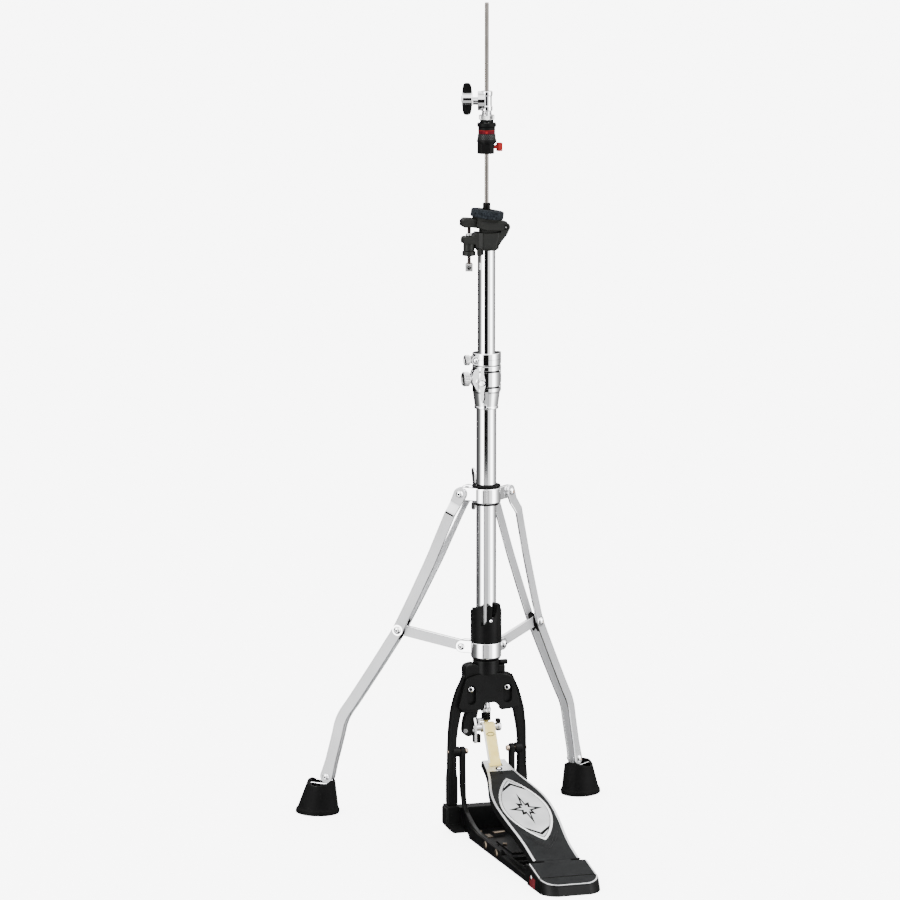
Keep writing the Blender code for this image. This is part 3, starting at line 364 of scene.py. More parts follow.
def material(slot, name, light, dark, metallic, roughness, relief, grain, cloud, spread=0.08, shine=0.035,
             sheen=0.0):
    """Colour that drifts between dark and light, with its own roughness drift and fine relief."""
    made, tree, shader = blank(name)
    fine = noise_of(tree, grain, 5.0)
    color = ramp(tree, noise_of(tree, cloud, 3.0), [(0.3, dark), (0.7, light)])
    low, high = max(roughness - spread, 0.02), roughness + spread
    rough = ramp(tree, fine, [(0.3, grey(low)), (0.7, grey(high))])
    bump = node(tree, "Bump", Strength=relief, Distance=0.0004, Height=fine)
    set_inputs(tree, shader, Base_Color=color, Roughness=rough, Normal=bump.outputs["Normal"],
               Metallic=metallic, Specular_IOR_Level=0.5 if metallic else shine, Sheen_Weight=sheen)
    made.diffuse_color = (*light, 1)
    PAINT[name], SLOTS[name] = made, slot
    return made


def woven(made, scale, strength):
    """Adds a weave to a fabric's relief."""
    tree = made.node_tree
    place = node(tree, "TexCoord").outputs["Object"]
    waves = []
    for direction in "XZ":
        wave = node(tree, "TexWave", Scale=scale, Vector=place)
        wave.bands_direction = direction
        waves.append(wave.outputs["Fac"])
    both = operated(tree, "Math", "MULTIPLY", *waves).outputs[0]
    under = tree.nodes["Bump"].outputs["Normal"]
    bump = node(tree, "Bump", Strength=strength, Distance=0.0006, Height=both, Normal=under)
    set_inputs(tree, tree.nodes["Principled BSDF"], Normal=bump.outputs["Normal"])


def faced(made, axis):
    """Keeps the finish on faces across the axis, and turns the edges between them to chrome."""
    tree = made.node_tree
    normal = node(tree, "TexCoord").outputs["Normal"]
    dot = operated(tree, "VectorMath", "DOT_PRODUCT", normal, axis).outputs["Value"]
    size = operated(tree, "Math", "ABSOLUTE", dot).outputs[0]
    share = node(tree, "MapRange", From_Min=0.9, From_Max=0.975, Value=size).outputs["Result"]
    edge = node(tree, "BsdfPrincipled", Base_Color=(0.9, 0.9, 0.91, 1), Metallic=1, Roughness=0.08)
    mix = node(tree, "MixShader", Fac=share)
    tree.links.new(edge.outputs[0], mix.inputs[1])
    tree.links.new(tree.nodes["Principled BSDF"].outputs[0], mix.inputs[2])
    set_inputs(tree, tree.nodes["Material Output"], Surface=mix.outputs[0])


def make_metals():
    material("chrome", "chrome", grey(0.93, 0.01), grey(0.88, 0.01), 1, 0.055, 0.01, 900, 18, spread=0.02)
    material("chrome", "rod_chrome", (0.17, 0.155, 0.145), (0.12, 0.11, 0.1), 1, 0.1, 0.02, 900, 30,
             spread=0.03)
    material("chrome", "satin_chrome", grey(0.86), grey(0.78), 1, 0.16, 0.03, 900, 20, spread=0.04)
    for side, hand in SIDES:
        light, dark = grey(0.5, 0.01), grey(0.36, 0.01)
        plate = material("chrome", f"plate_{hand}", light, dark, 0.08, 0.3, 0.04, 900, 9)
        faced(plate, (math.cos(LEG_BEARING), -side * math.sin(LEG_BEARING), 0))
    material("bare_steel", "bronze", (0.62, 0.48, 0.36), (0.45, 0.34, 0.26), 1, 0.2, 0.05, 700, 60)
    # Steel painted darker for the bolts and clips under the footboard: painted shade from the board.
    material("bare_steel", "shaded_steel", (0.2, 0.16, 0.12), (0.08, 0.065, 0.05), 1, 0.35, 0.1, 700, 120)
    material("bare_steel", "steel", grey(0.6), grey(0.4), 1, 0.2, 0.08, 800, 60)
    material("bare_steel", "amber", (0.45, 0.2, 0.05), (0.3, 0.12, 0.03), 0.4, 0.4, 0.1, 900, 60)
    material("silver_paint", "silver", grey(0.72, 0.01), grey(0.6, 0.01), 0.85, 0.3, 0.1, 1400, 40)
    material("silver_paint", "emblem", grey(0.6, 0.01), grey(0.42, 0.01), 0.2, 0.36, 0.1, 1600, 40)
    material("silver_paint", "white_metal", grey(0.88), grey(0.78), 0.7, 0.25, 0.05, 1300, 40)


def make_blacks():
    material("black_casting", "casting", grey(0.0045), grey(0.002), 0, 0.34, 0.12, 1100, 30, shine=0.07)
    material("black_casting", "tilter", (0.0105, 0.011, 0.0098), (0.006, 0.0062, 0.0056), 0, 0.4, 0.14, 1100,
             30, shine=0.12)
    material("black_plastic", "plastic", grey(0.004), grey(0.002), 0, 0.42, 0.1, 1300, 40, shine=0.05)
    material("black_plastic", "knurl", grey(0.02), grey(0.008), 0, 0.35, 0.2, 900, 60, shine=0.5)
    # Near-black for painted shade in gaps, grooves, recesses and sockets, for a painted reflection on the
    # left leg's bend, and for the emblem's black print.
    material("black_plastic", "shade_and_print_black", grey(0.0015), grey(0.001), 0, 0.7, 0.02, 600, 60)
    material("black_rubber", "rubber", grey(0.004), grey(0.002), 0, 0.55, 0.15, 1500, 30)
    material("black_rubber", "tread", (0.0085, 0.0092, 0.0096), (0.0042, 0.0046, 0.0048), 0, 0.5, 0.4, 1900,
             60)


def make_colours():
    material("dark_felt", "felt", (0.022, 0.026, 0.031), (0.0016, 0.002, 0.0026), 0, 0.95, 0.9, 900, 420,
             shine=0.02, sheen=0.02)
    webbing = material("strap_webbing", "strap", (0.9, 0.75, 0.27), (0.8, 0.63, 0.19), 0, 0.75, 0.25, 900, 90,
                       shine=0.1)
    binding = material("strap_webbing", "strap_edge", (0.86, 0.84, 0.76), (0.74, 0.72, 0.64), 0, 0.8, 0.25,
                       900, 90)
    for fabric in (webbing, binding):
        woven(fabric, 260, 0.3)
    material("red_plastic", "red", (0.24, 0.016, 0.016), (0.17, 0.009, 0.009), 0, 0.36, 0.06, 900, 60,
             shine=0.03)
    material("red_plastic", "dark_red", (0.085, 0.004, 0.01), (0.05, 0.002, 0.005), 0, 0.4, 0.1, 900, 60)
    material("maroon_bushing", "maroon", (0.1, 0.012, 0.016), (0.07, 0.008, 0.01), 0, 0.5, 0.1, 900, 60)


def show(name, body, paint, meshes, *replaced, sharp=38):
    mesh = merged(meshes)
    mesh.materials.clear()
    mesh.materials.append(PAINT[paint])
    mesh.shade_smooth()
    mesh.set_sharp_from_angle(angle=math.radians(sharp))
    obj = bpy.data.objects.new(name, mesh)
    bpy.context.scene.collection.objects.link(obj)
    weighted = obj.modifiers.new("weighted normals", "WEIGHTED_NORMAL")
    weighted.keep_sharp = True
    weighted.mode = "FACE_AREA"
    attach(obj, body)
    if replaced:
        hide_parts(*replaced)
    return obj


def nut(radius, high, low, pin, round_by=0.5):
    """A hexagon nut on a 6 mm bolt."""
    return lathe(soften([(3, high), (radius, high), (radius, low), (3, low)], round_by, True, 2), pin, 6)


def socket_bolt(name, body, place, head, height, hole, paint="chrome", fill="shade_and_print_black", replaced=(), more=()):
    """A domed head whose top is at +Z of place, and a hexagon plug in its socket: by default painted shade.
    """
    dome = soften([(hole, height), (hole * 1.35, height), (head * 0.8, height * 0.62), (head, height * 0.15),
                   (head, 0), (hole, 0)], head * 0.2, False, 4)
    show(name, body, paint, [lathe(dome + [(hole, 0)], place, 40), *more], *replaced)
    plug = lathe([(0, height * 0.75), (hole * 1.12, height * 0.75), (hole * 1.12, 0), (0, 0)], place, 6)
    show(name + "_socket", body, fill, [plug])


# The tubes and rods.


def make_tubes():
    show("lower_tube_skin", "frame", "chrome", [tube(14.3, 12.9, 204, 667, steps=128)], "base_tube")
    show("upper_tube_skin", "upper_tube", "chrome", [tube(12.5, 11.1, 490, 850, steps=128)], "upper_tube")
    rod = soften([(0, 1184), (2.4, 1184), (3, 1182), (3, 300.3), (0, 300.3)], 0.5, False, 3)
    show("pull_rod_skin", "rod", "rod_chrome", [lathe(rod, steps=64)], "pull_rod")
    lower = [(0, 300), (5.5, 300), (5.7, 299), (5.7, 291), (10.5, 291), (10.5, 287), (5.7, 287), (5.7, 196)]
    for i in range(17):
        z = 196 - i
        lower += [(5.7, z), (5.2, z - 0.35), (5.7, z - 0.7)]
    show("lower_rod_skin", "rod", "chrome", [lathe(lower + [(5.4, 178.8), (0, 178.8)], steps=64)],
         "lower_rod")


# The sliding collar, its wing bolt and the leg bolts.


def ear(side, pivot, half, reach, w0, w1, bevel=1.2):
    """A plate with a round end about a pivot on a leg, from radius `reach` outwards."""
    r, z = pivot
    outline = [(reach, z - half)] + arc((r, z), half, -90, 90, 20) + [(reach, z + half)]
    return prism(outline, w0, w1, leg_face(side), bevel)


def patch(radius, thick, z0, z1, bearing, half_angle):
    """A raised pad on a cylinder, whose middle faces `bearing` degrees left of the player's side."""
    outer = arc((0, 0), radius + thick, -90 - bearing - half_angle, -90 - bearing + half_angle, 12)
    inner = arc((0, 0), radius - 0.5, -90 - bearing + half_angle, -90 - bearing - half_angle, 12)
    return prism(outer + inner, z0, z1, bevel=0.3)


def make_collar():
    profile = soften([(15.4, 498), (19.6, 498), (20.7, 496.8), (20.7, 477.4), (19.6, 476), (15.4, 476)], 0.9,
                     True)
    body = [lathe(profile, steps=128), patch(20.6, 0.5, 478.2, 496, 26, 11)]
    for side, _ in SIDES:
        body.append(ear(side, COLLAR_PIVOT, 9.4, 14, -8.2, -2, 1.6))
        body.append(ear(side, COLLAR_PIVOT, 9.4, 5, 13, 19.2, 1.6))
    body.append(peg((0, 16, 487), WING_AXIS, 7, 19, 1))
    body.append(tube(17.6, 14.9, 498, 500.2, round_by=0.7, steps=96))
    show("sliding_collar", "collar", "chrome", body, "upper_collar")
    lip = lathe(soften([(17.3, 498.2), (20.2, 498.2), (20.6, 500.6), (19.4, 502.4), (17.3, 501.6)], 1.2,
                       True), steps=96)
    under = lathe(soften([(14.7, 473.2), (17.2, 473), (18.9, 475.9), (14.7, 475.9)], 0.6, True), steps=96)
    show("collar_rings", "collar", "rubber", [lip, under], "collar_gasket")
    for side, hand in SIDES:
        # Left-hand sockets are filled with black, painted shade; right-hand ones with the amber paint.
        fill = "shade_and_print_black" if side < 0 else "amber"
        pin = leg_pin(side, *COLLAR_PIVOT)
        shank = rounded_rod(3, -14, 22, pin, 0.4, 32)
        socket_bolt(f"leg_bolt_{hand}_head", "collar", leg_pin(side, *COLLAR_PIVOT, 22.9), 5.6, 3.4, 1.9,
                    fill=fill, replaced=(f"leg_bolt_{hand}",), more=(shank, nut(5.6, -12, -16.5, pin, 0.6)))


def make_wing_bolt():
    place = at(0, 17, 487) @ along(WING_AXIS)
    stem = soften([(0, 32), (5.2, 32), (6.6, 20), (2.6, 19.4), (2.6, 0), (0, 0)], 1.4, False, 4)
    half = [(0, -4.6), (14, -4.4), (24, -3), (30, 2), (31, 8), (27, 11), (19, 8.4), (9, 5.4), (0, 5)]
    wings = prism(soften(mirror(half), 3, True), -1.7, 1.7, place @ at(0, 0, 28) @ SIDEWAYS, 1.2)
    show("collar_wing", "collar_wing", "satin_chrome", [lathe(stem, place, 48), wings], "collar_wing_bolt")


# The legs.


def leg_line():
    corners = [COLLAR_PIVOT, (77, 390), (107, 331), KNEE, (168, 227.5), (207, 168.5), (218.5, 153),
               (225.5, 138)]
    corners += [(229, 122), (239, 84), FOOT_BOLT]
    return [Vector(p) for p in soften(corners, 14, False, 6)]


def bar(side, kind):
    """A flat bar with rounded edges and ends that follows the leg's line and its own joggle."""
    line = leg_line()
    reach = [0.0]
    for a, b in zip(line, line[1:]):
        reach.append(reach[-1] + (b - a).length)
    total = reach[-1]
    knee = reach[min(range(len(line)), key=lambda i: (line[i] - Vector(KNEE)).length)]
    if kind == "outer":
        shifts = [(15, 21.2), (31, 26.5), (knee - 14, 9.6), (knee, 8), (total, 5.6)]
    else:
        shifts = [(15, -10.2), (31, -8.4), (knee, -7), (total, -5.6)]

    def shift(s):
        if s <= shifts[0][0]:
            return shifts[0][1]
        for (s0, v0), (s1, v1) in zip(shifts, shifts[1:]):
            if s <= s1:
                return v0 + (v1 - v0) * (s - s0) / (s1 - s0)
        return shifts[-1][1]

    def station(s):
        i = max(0, min(len(line) - 2, sum(1 for r in reach[1:-1] if s > r)))
        step = line[i + 1] - line[i]
        step = step if step.length > 1e-6 else line[-1] - line[-4]
        return line[i] + step.normalized() * (s - reach[i]), step.normalized()

    stops = [-BAR_HALF * math.cos(math.radians(a)) for a in (6, 15, 28, 42, 58, 75)]
    stops += reach[1:-1] + [0, 8, 14.5, 15.5, 19, 23, 27, 30.5, 31.5, 36, knee - 14, knee - 7]
    stops += [total] + [total + BAR_HALF * math.cos(math.radians(a)) for a in (75, 58, 42, 28, 15, 6)]
    stops = sorted(set(round(s, 3) for s in stops))
    loops = []
    for s in stops:
        beyond = max(0.0, -s, s - total)
        from_end = max(0.0, min(s, total - s))
        half = math.sqrt(max(BAR_HALF ** 2 - beyond ** 2, 0.8)) - 1.5 * min(1.0, from_end / 24)
        edge = min(1.0, half * 0.4)
        point, ahead = station(s)
        sideways = Vector((-ahead.y, ahead.x))
        loop = []
        for x, y in soften([(half, 1.5), (-half, 1.5), (-half, -1.5), (half, -1.5)], edge, True, 4):
            spot = point + sideways * x
            loop.append((spot.x, -side * (shift(s) + y * side), spot.y))
        loops.append(loop)
    return rows(loops, on_leg(side))


def make_legs():
    for side, hand in SIDES:
        body = f"leg_{hand}"
        for kind in ("outer", "inner"):
            paint = "chrome" if (kind, hand) == ("inner", "left") else f"plate_{hand}"
            show(f"{kind}_leg_bar_{hand}", body, paint, [bar(side, kind)], f"{kind}_bar_{hand}", sharp=24)
        knee = leg_pin(side, *KNEE)
        # Left-hand sockets are filled with black, painted shade; right-hand ones with the bronze paint.
        fill = "shade_and_print_black" if side < 0 else "bronze"
        washer = lathe(soften([(3, 9.6), (8, 9.6), (8, 10.4), (3, 10.4)], 0.3, True, 2), knee, 40)
        socket_bolt(f"knee_head_{hand}", body, knee @ at(0, 0, 10.2), 5.8, 3.8, 1.9, fill=fill,
                    replaced=(f"knee_bolt_{hand}",), more=(washer, rounded_rod(3, 5.8, 10, knee, 0.2, 24)))
        r, z = KNEE
        block = [(r - 8, z - 6), (r + 3, z - 17), (r + 11, z - 10), (r + 6, z + 8), (r - 5, z + 14),
                 (r - 11, z + 10)]
        spacers = [prism(soften(block, 2, True), *span, leg_face(side), 0.5) for span in ((-4.6, -3.1),
                                                                                          (3.1, 5.8))]
        show(f"knee_spacer_{hand}", body, "plastic", spacers)
        foot_pin = leg_pin(side, *FOOT_BOLT)
        shank = rounded_rod(3, -10, 7.4, foot_pin, 0.3, 24)
        socket_bolt(f"foot_bolt_head_{hand}", body, foot_pin @ at(0, 0, 7.2), 5.2, 3.6, 1.8, fill=fill,
                    replaced=(f"foot_bolt_{hand}",), more=(shank, nut(5.2, -7.5, -11.4, foot_pin)))
    # A black slot shape on the left outer bar's joggle: a painted reflection of the bend.
    slot = soften([(-6.8, -1.3), (6.8, -1.3), (6.8, 1.3), (-6.8, 1.3)], 0.8, True)
    spot = leg_face(-1) @ at(44.8, 460.5, 0) @ spin(24.6)
    show("bend_reflection_left", "leg_left", "shade_and_print_black", [prism(slot, 27.7, 28.15, spot, 0.1)])


def make_feet():
    """An oval rubber boot with a lip at the floor; its rim dips where the bars enter."""
    steps = 112
    profile = [(0.93, 0), (0.985, 0.6), (1, 2), (1, 5.4), (0.975, 7.2), (0.945, 8.2), (0.925, 9.6)]
    for side, hand in SIDES:

        def ring_at(grow, share, inset=0.0, drop=0.0):
            """One level: share runs from 0 at the lip's top to 1 at the rim."""
            loop = []
            for i in range(steps):
                angle = 2 * math.pi * i / steps
                rim = 50 - 6.5 * max(0.0, abs(math.sin(angle)) - 0.35) / 0.65
                z = share * (rim - 9.6) + 9.6 if share >= 0 else -share
                if share > 0:
                    rx, ry = 30.2 - 10.6 * share - inset, 25.9 - 4.7 * share - inset
                else:
                    rx, ry = 32.6 * grow - inset, 28 * grow - inset
                loop.append((rx * math.cos(angle) - 6.8 / 49 * z, ry * math.sin(angle), z - drop))
            return loop

        loops = [ring_at(grow, -z if z else -0.0001) for grow, z in profile]
        loops += [ring_at(1, share) for share in (0.1, 0.3, 0.5, 0.7, 0.9, 0.985)]
        loops += [ring_at(1, 1, 0.7), ring_at(1, 1, 1.8), ring_at(1, 1, 2.8, 0.8), ring_at(1, 0.75, 4.4)]
        boot = rows(loops, on_leg(side, FOOT_R))
        show(f"rubber_foot_{hand}", f"leg_{hand}", "rubber", [boot], f"foot_{hand}", sharp=50)
        place = on_leg(side, FOOT_R - 7)
        cheeks = [cuboid((-14.5, y, 36), (13, y + 1.8, 47), place, 0.6) for y in (-10.6, 8.8)]
        floor = cuboid((-13, -10, 38.5), (12, 10, 41), place, 0.6)
        show(f"foot_bracket_{hand}", f"leg_{hand}", "chrome", [*cheeks, floor])


# The leg hub: its collar, the struts and the black crown.


def make_hub():
    profile = soften([(14.9, 275), (20.6, 275), (21.7, 273.8), (21.7, 253.8), (20.6, 252.5), (14.9, 252.5)],
                     0.9, True)
    body = [lathe(profile, steps=128)]
    for side, _ in SIDES:
        for w0, w1 in ((4, 8.6), (-8.6, -4)):
            body.append(ear(side, STRUT_PIVOT, 8.8, 15, w0, w1, 1.2))
    show("hub_collar", "leg_hub", "chrome", body, "lower_collar")
    for side, hand in SIDES:
        pin = leg_pin(side, *STRUT_PIVOT)
        shank = rounded_rod(3, -9, 9, pin, 0.3, 24)
        socket_bolt(f"strut_bolt_{hand}_head", "leg_hub", pin @ at(0, 0, 8.7), 5.2, 3.4, 1.9,
                    replaced=(f"strut_bolt_{hand}",), more=(shank, nut(5.4, -9, -12.6, pin)))
        lift = on_leg(side, *STRUT_PIVOT) @ Matrix.Rotation(-STRUT_RISE, 4, "Y") @ spin(90, "X")
        outline = arc((0, 0), 7.9, 90, 270, 20) + arc((STRUT_LENGTH, 0), 7.9, -90, 90, 20)
        plate = prism(outline, -2.5, 2.5, lift, 0.8)
        show(f"strut_plate_{hand}", f"strut_{hand}", f"plate_{hand}", [plate], f"strut_{hand}")
    make_crown()


def make_crown():
    """A sleeve whose upper rim follows a table of (degrees from the camera's side, height)."""
    rim = [(-180, 318), (-92, 318), (-91, 321), (-66, 321), (-65, 326), (-38, 326.5), (-22, 330),
           (-18.5, 330.5), (-18, 301), (2, 305), (2.6, 329), (6, 331), (18, 331), (22, 328.5), (22.5, 312),
           (33, 313), (44, 322), (48, 331), (56, 333), (66, 331), (70, 326), (90, 320), (180, 318)]

    def top(angle):
        for (a0, z0), (a1, z1) in zip(rim, rim[1:]):
            if angle <= a1:
                return z0 + (z1 - z0) * (angle - a0) / (a1 - a0)
        return rim[-1][1]

    stops = sorted(set([a for a, _ in rim[1:]] + list(range(-177, 181, 3))))
    loops = [[] for _ in range(6)]
    for angle in stops:
        turn = math.radians(angle) - math.pi / 2 - CAMERA_BEARING
        x, y, z = math.cos(turn), math.sin(turn), top(angle)
        section = ((14.9, 275.4), (21.9, 275.4), (22.1, 277), (22.1, z - 0.6), (21.4, z), (14.9, z))
        for loop, (r, height) in zip(loops, section):
            loop.append((r * x, r * y, height))
    body = rows([*loops, loops[0]], cap_start=False, cap_end=False)
    raised = patch(22, 0.7, 281, 306, -31, 4)
    show("black_crown", "leg_hub", "plastic", [body, raised], "swivel_sleeve", sharp=30)
    spot = TO_CAMERA @ spin(19) @ at(0, -21.6, 308) @ spin(90, "X")
    socket_bolt("crown_screw", "leg_hub", spot, 2.6, 1.8, 0.9)
    show("crown_lip", "leg_hub", "rubber", [tube(20.2, 15, 250.6, 252.4, steps=96)])


# The black frame: head casting, arms, crossbar, side bars, base plate and heel.


def upright_y(outline, front, back, bevel=1.2, place=Matrix()):
    """An XZ outline given a thickness from y = front to y = back."""
    return prism(outline, -back, -front, place @ UPRIGHT, bevel)


def arm_outline(side):
    outer = [(6, 230), (35.5, 229), (38.7, 220), (46, 206), (50.5, 191), (54, 177), (57, 149), (58.2, 120),
             (58.4, 90)]
    outer += [(59.8, 82), (59.8, 38.4)]
    inner = [(44.7, 38.4), (44.7, 79), (46.4, 88), (46.6, 96), (46.6, 133), (44, 153), (38.5, 180), (6, 200)]
    return [(side * x, z) for x, z in soften(outer + inner, 7, True, 4)]


def make_head():
    socket = soften([(0, 250), (17.4, 250), (19, 248.4), (19, 229.4), (0, 229.4)], 0.8, False)
    cap = soften([(0, 252), (15.8, 252), (16.4, 249), (0, 249)], 0.4, False)
    meshes = [lathe(socket, steps=96), lathe(cap, steps=96)]
    front = mirror([(16, 230.6), (31, 226.8), (35.5, 222), (45.6, 184), (43, 180.5), (18, 178.6)])
    plate = prism(soften(front, 4, True, 4), 7.5, 17, UPRIGHT, 1.4)
    slots = []
    for side, _ in SIDES:
        outline = arc((side * 27, 209), 6.6, 0, 180, 14) + arc((side * 27, 194), 6.6, 180, 360, 14)
        slots.append(prism(outline, 11.5, 20, UPRIGHT))
    way = prism(soften([(-9, 150), (-9, 189), (9, 189), (20, 178), (20, 150)], 2, True), -40, 40, UPRIGHT)
    meshes += boolean([plate], [*slots, way])
    arms = [upright_y(arm_outline(side), -9.5, 3, 1.6) for side, _ in SIDES]
    meshes += boolean(arms, [way])
    for side, _ in SIDES:
        rib = [(36, 228), (46, 206), (50.5, 191), (54, 177), (57, 149), (57.6, 90), (55, 90), (54.6, 148)]
        rib += [(51.6, 176), (48.2, 190), (43.8, 205), (34.4, 226)]
        meshes.append(upright_y([(side * x, z) for x, z in rib], -10.6, -7, 0.5))
        meshes.append(peg((side * 41.8, *SIDE_BOLT), (side, 0, 0), 7.4, 10, 1.2))
    lug = [(-34, 222), (-34.5, 240), (-31, 243.6), (-20, 246), (-12, 240), (-12, 222)]
    left_foot = [(-41, 176), (-17, 176), (-17, 187), (-41, 187)]
    right_foot = [(17, 177), (44, 179), (44, 188), (19, 186)]
    lever = [(-23, 196), (-35, 164), (-37, 146), (-32, 139.4), (-23, 140), (-17, 146), (-16, 168), (-9, 196)]
    plates = ((lug, 4, -12.5, 9, 1.6), (left_foot, 2, -16, -4, 1.2), (right_foot, 2, -16, -4, 1.2),
              (lever, 4, -9.4, 4.6, 1.4))
    meshes += [upright_y(soften(outline, soft, True), *rest) for outline, soft, *rest in plates]
    meshes += [peg((x, -17.2, 206), RIGHT, 0.7, 6, 0.2, 12) for x in (-18, 12)]
    meshes += [cuboid((12, -8, 222), (26.5, 9, 241), bevel=1.6), peg((19, -2, 244), RIGHT, 3.8, 12, 1.4, 32)]
    show("head_casting", "frame", "casting", meshes, "a_frame", sharp=34)
    tip = [(0, 4), (3, 4), (3.6, 3), (3.6, 0), (0, 0)]
    place = at(-33, -9.2, 149) @ along((-0.4, -1, 0))
    show("lever_end", "frame", "steel", [lathe(tip, place, 48, 16, 0.6, 3.2)])
    for side, hand in SIDES:
        place = at(side * 27, -13, 209.5) @ along((-0.31, -0.95, 0.05))
        socket_bolt(f"head_screw_{hand}_fine", "frame", place, 5.5, 3.2, 2.2,
                    replaced=(f"head_screw_{hand}",))
        bolt = at(side * 34, *SIDE_BOLT) @ along((-side, 0, 0))
        cap = lathe(soften([(0, 5.4), (3.2, 5.4), (4.4, 3.6), (4.4, 1), (0, 1)], 0.8, False, 3), bolt, 32)
        collar = lathe(soften([(0, 1.2), (5.4, 1.2), (5.4, -0.6), (0, -0.6)], 0.3, False, 2), bolt, 40)
        shank = rounded_rod(2.9, 0, 26, bolt @ at(0, 0, -25), 0.2, 24)
        show(f"side_bar_nut_{hand}", "frame", "bronze", [cap, shank], f"rod_bolt_{hand}")
        show(f"side_bar_washer_{hand}", "frame", "casting", [collar])


def make_base():
    bar_shape = mirror([(63.8, 38), (63.8, 12.5), (52.5, 0.2), (0, 0.2)])
    meshes = [upright_y(soften(bar_shape, 2.5, True), -14, 8, 1.4)]
    meshes += [flank(side, 44, 62, (-15.2, 14), (9, 40.5), bevel=1.4) for side, _ in SIDES]
    show("crossbar", "frame", "casting", meshes, "base_bar")
    for side, hand in SIDES:
        front = [(-11.5, 100), (-14.2, 50), (-24, 35), (-60, 22.5), (-90, 17.5), (-192, 17)]
        rear = [(-192, 0.6), (-50, 0.6), (-31, 8), (-18.5, 22), (-14.9, 38), (-8, 48), (-1, 62), (1.5, 100)]
        outline = arc(SIDE_BOLT, 7, 0, 180, 16) + soften([(-12, 112), *front, *rear, (2, 112)], 8, False, 4)
        meshes = [prism(outline, -3.2, 3.2, at(side * 37, 0, 0) @ SIDEWAYS, 1.1)]
        outer = [(-48, 1), (-56, 20.5), (-92, 16.6), (-193, 16.6), (-196, 13), (-196, 1)]
        low, high = (2, 4.6) if side > 0 else (-4.6, -2)
        meshes.append(prism(soften(outer, 2, True), low, high, at(side * 37, 0, 0) @ SIDEWAYS, 0.9))
        show(f"side_bar_{hand}", "frame", "casting", meshes, f"radius_rod_{hand}")
        # These bolts under the footboard take the darker steel, painted shade from the board.
        for i, y in enumerate((-126, -175)):
            socket_bolt(f"plate_bolt_{hand}_{i + 1}", "frame", at(side * 41.6, y, 9.6) @ along((side, 0, 0)),
                        6.2, 2.4, 1.8, paint="shaded_steel")
    make_base_plate()


def make_base_plate():
    meshes = [cuboid((-31, -322, 2), (31, -15, 5), bevel=0.6)]
    for side, _ in SIDES:
        meshes += [flank(side, 30, 33.4, (-322, 2), (-15, 13)), flank(side, 20, 29, (-122, 4), (-40, 8.5))]
        x0, x1 = sorted((side * 33, side * 41.5))
        wedge = [(-196, 1), (-196, 12), (-262, 11), (-330, 9.5), (-330, 1)]
        meshes.append(prism(soften(wedge, 1.5, True), x0, x1, SIDEWAYS, 0.9))
    for y in (-206, -232, -258, -284):
        rib = [(y + 8, 4), (y + 5, 11.5), (y - 4, 11.5), (y - 10, 4)]
        meshes.append(prism(soften(rib, 2, True), -32, 32, SIDEWAYS, 0.5))
    meshes.append(cuboid((-16, -170, 4), (16, -96, 7.5), bevel=1))
    show("pressed_base", "frame", "casting", meshes, "base_plate", sharp=34)
    # The clips under the footboard take the darker steel, painted shade from the board.
    clip = [cuboid((-22, -62, 8.6), (-4, -56, 11.4), spin(12)), cuboid((-24, -84, 8.6), (-16, -66, 10.4)),
            rounded_rod(3.4, 0, 3, at(-12, -124, 7.4), 0.9, 32),
            rounded_rod(2.4, 0, 4, at(-25, -52, 8), 0.9, 32)]
    show("base_clips", "frame", "shaded_steel", clip)
    pin = rounded_rod(2.4, -42, 42, at(0, HINGE[0], 19) @ spin(90, "Y"), 0.6, 32)
    show("heel_pin_fine", "frame", "steel", [pin], "heel_pin")
    spring = coil(0, 0, 9.2, 206.2, 285.6, 7, 1.1, 24)
    coil_piece = show("return_coil", "frame", "steel", [spring], "return_spring")
    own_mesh(coil_piece)


def heel_outline(inset=0.0, front=0.0, back=0.0):
    """The heel's plan in its own frame; front and back move those edges towards the heel's back."""
    right = [(43 - inset, -1 - front), (43 - inset, -50 - back)]
    return mirror(right + arc((17, -49 - back), 26 - inset, 0, -80, 12))


def make_heel():
    loops = []
    for inset, height, back, flat in ((0.2, 0, 5, 0.2), (-0.8, 0, 5, 1.4), (0, -1.6, 0, None),
                                      (0.5, -0.4, 0, None), (1.4, 0.001, 0, None)):
        loop = []
        for x, y in heel_outline(inset, 2.5, back):
            point = HEEL @ mm(x, y, height) / MM
            loop.append((point.x, point.y, point.z if flat is None else flat))
        loops.append(loop)
    body = rows(loops)
    cutters = [cuboid((-34, -372, -5), (34, -322, 12), bevel=0)]
    cutters += [cuboid((x0, -351.4, -5), (x1, -326.6, 16.3), bevel=0) for x0, x1 in ((-50, -36), (36, 50))]
    meshes = boolean([body], cutters)
    meshes += [flank(side, 37.6, 42, (-327, 1), (-304, 27), bevel=2) for side, _ in SIDES]
    show("heel_casting", "frame", "casting", meshes, "heel_plate", sharp=34)
    strip = heel_outline(1.6, 3) + list(reversed(heel_outline(3.3, 3)))
    show("heel_rim", "frame", "silver", [prism(strip, 0.02, 0.9, HEEL, 0.12, 2)])
    pad = [(39.4, -4)] + heel_outline(3.6, 4)[1:-1] + [(-39.4, -4)]
    tongue = cuboid((-18.6, -8, 0.2), (19.6, 0.2, 1.3), HEEL, 0.1)
    show("heel_tread", "frame", "tread", [prism(pad, 0.0, 1.2, HEEL, 0.3, 2), tongue])
    for side, hand in SIDES:
        block = flank(side, 36.4, 43.6, (-350.6, 0.2), (-327.4, 15.4), bevel=0.9)
        show(f"heel_block_{hand}", "frame", "maroon", [block], f"heel_bearing_{hand}")
        place = at(side * 43.2, -334, 14.4) @ along((side, 0, 0))
        socket_bolt(f"heel_screw_{hand}", "frame", place, 3.2, 1.6, 1, paint="steel")


# The footboard.


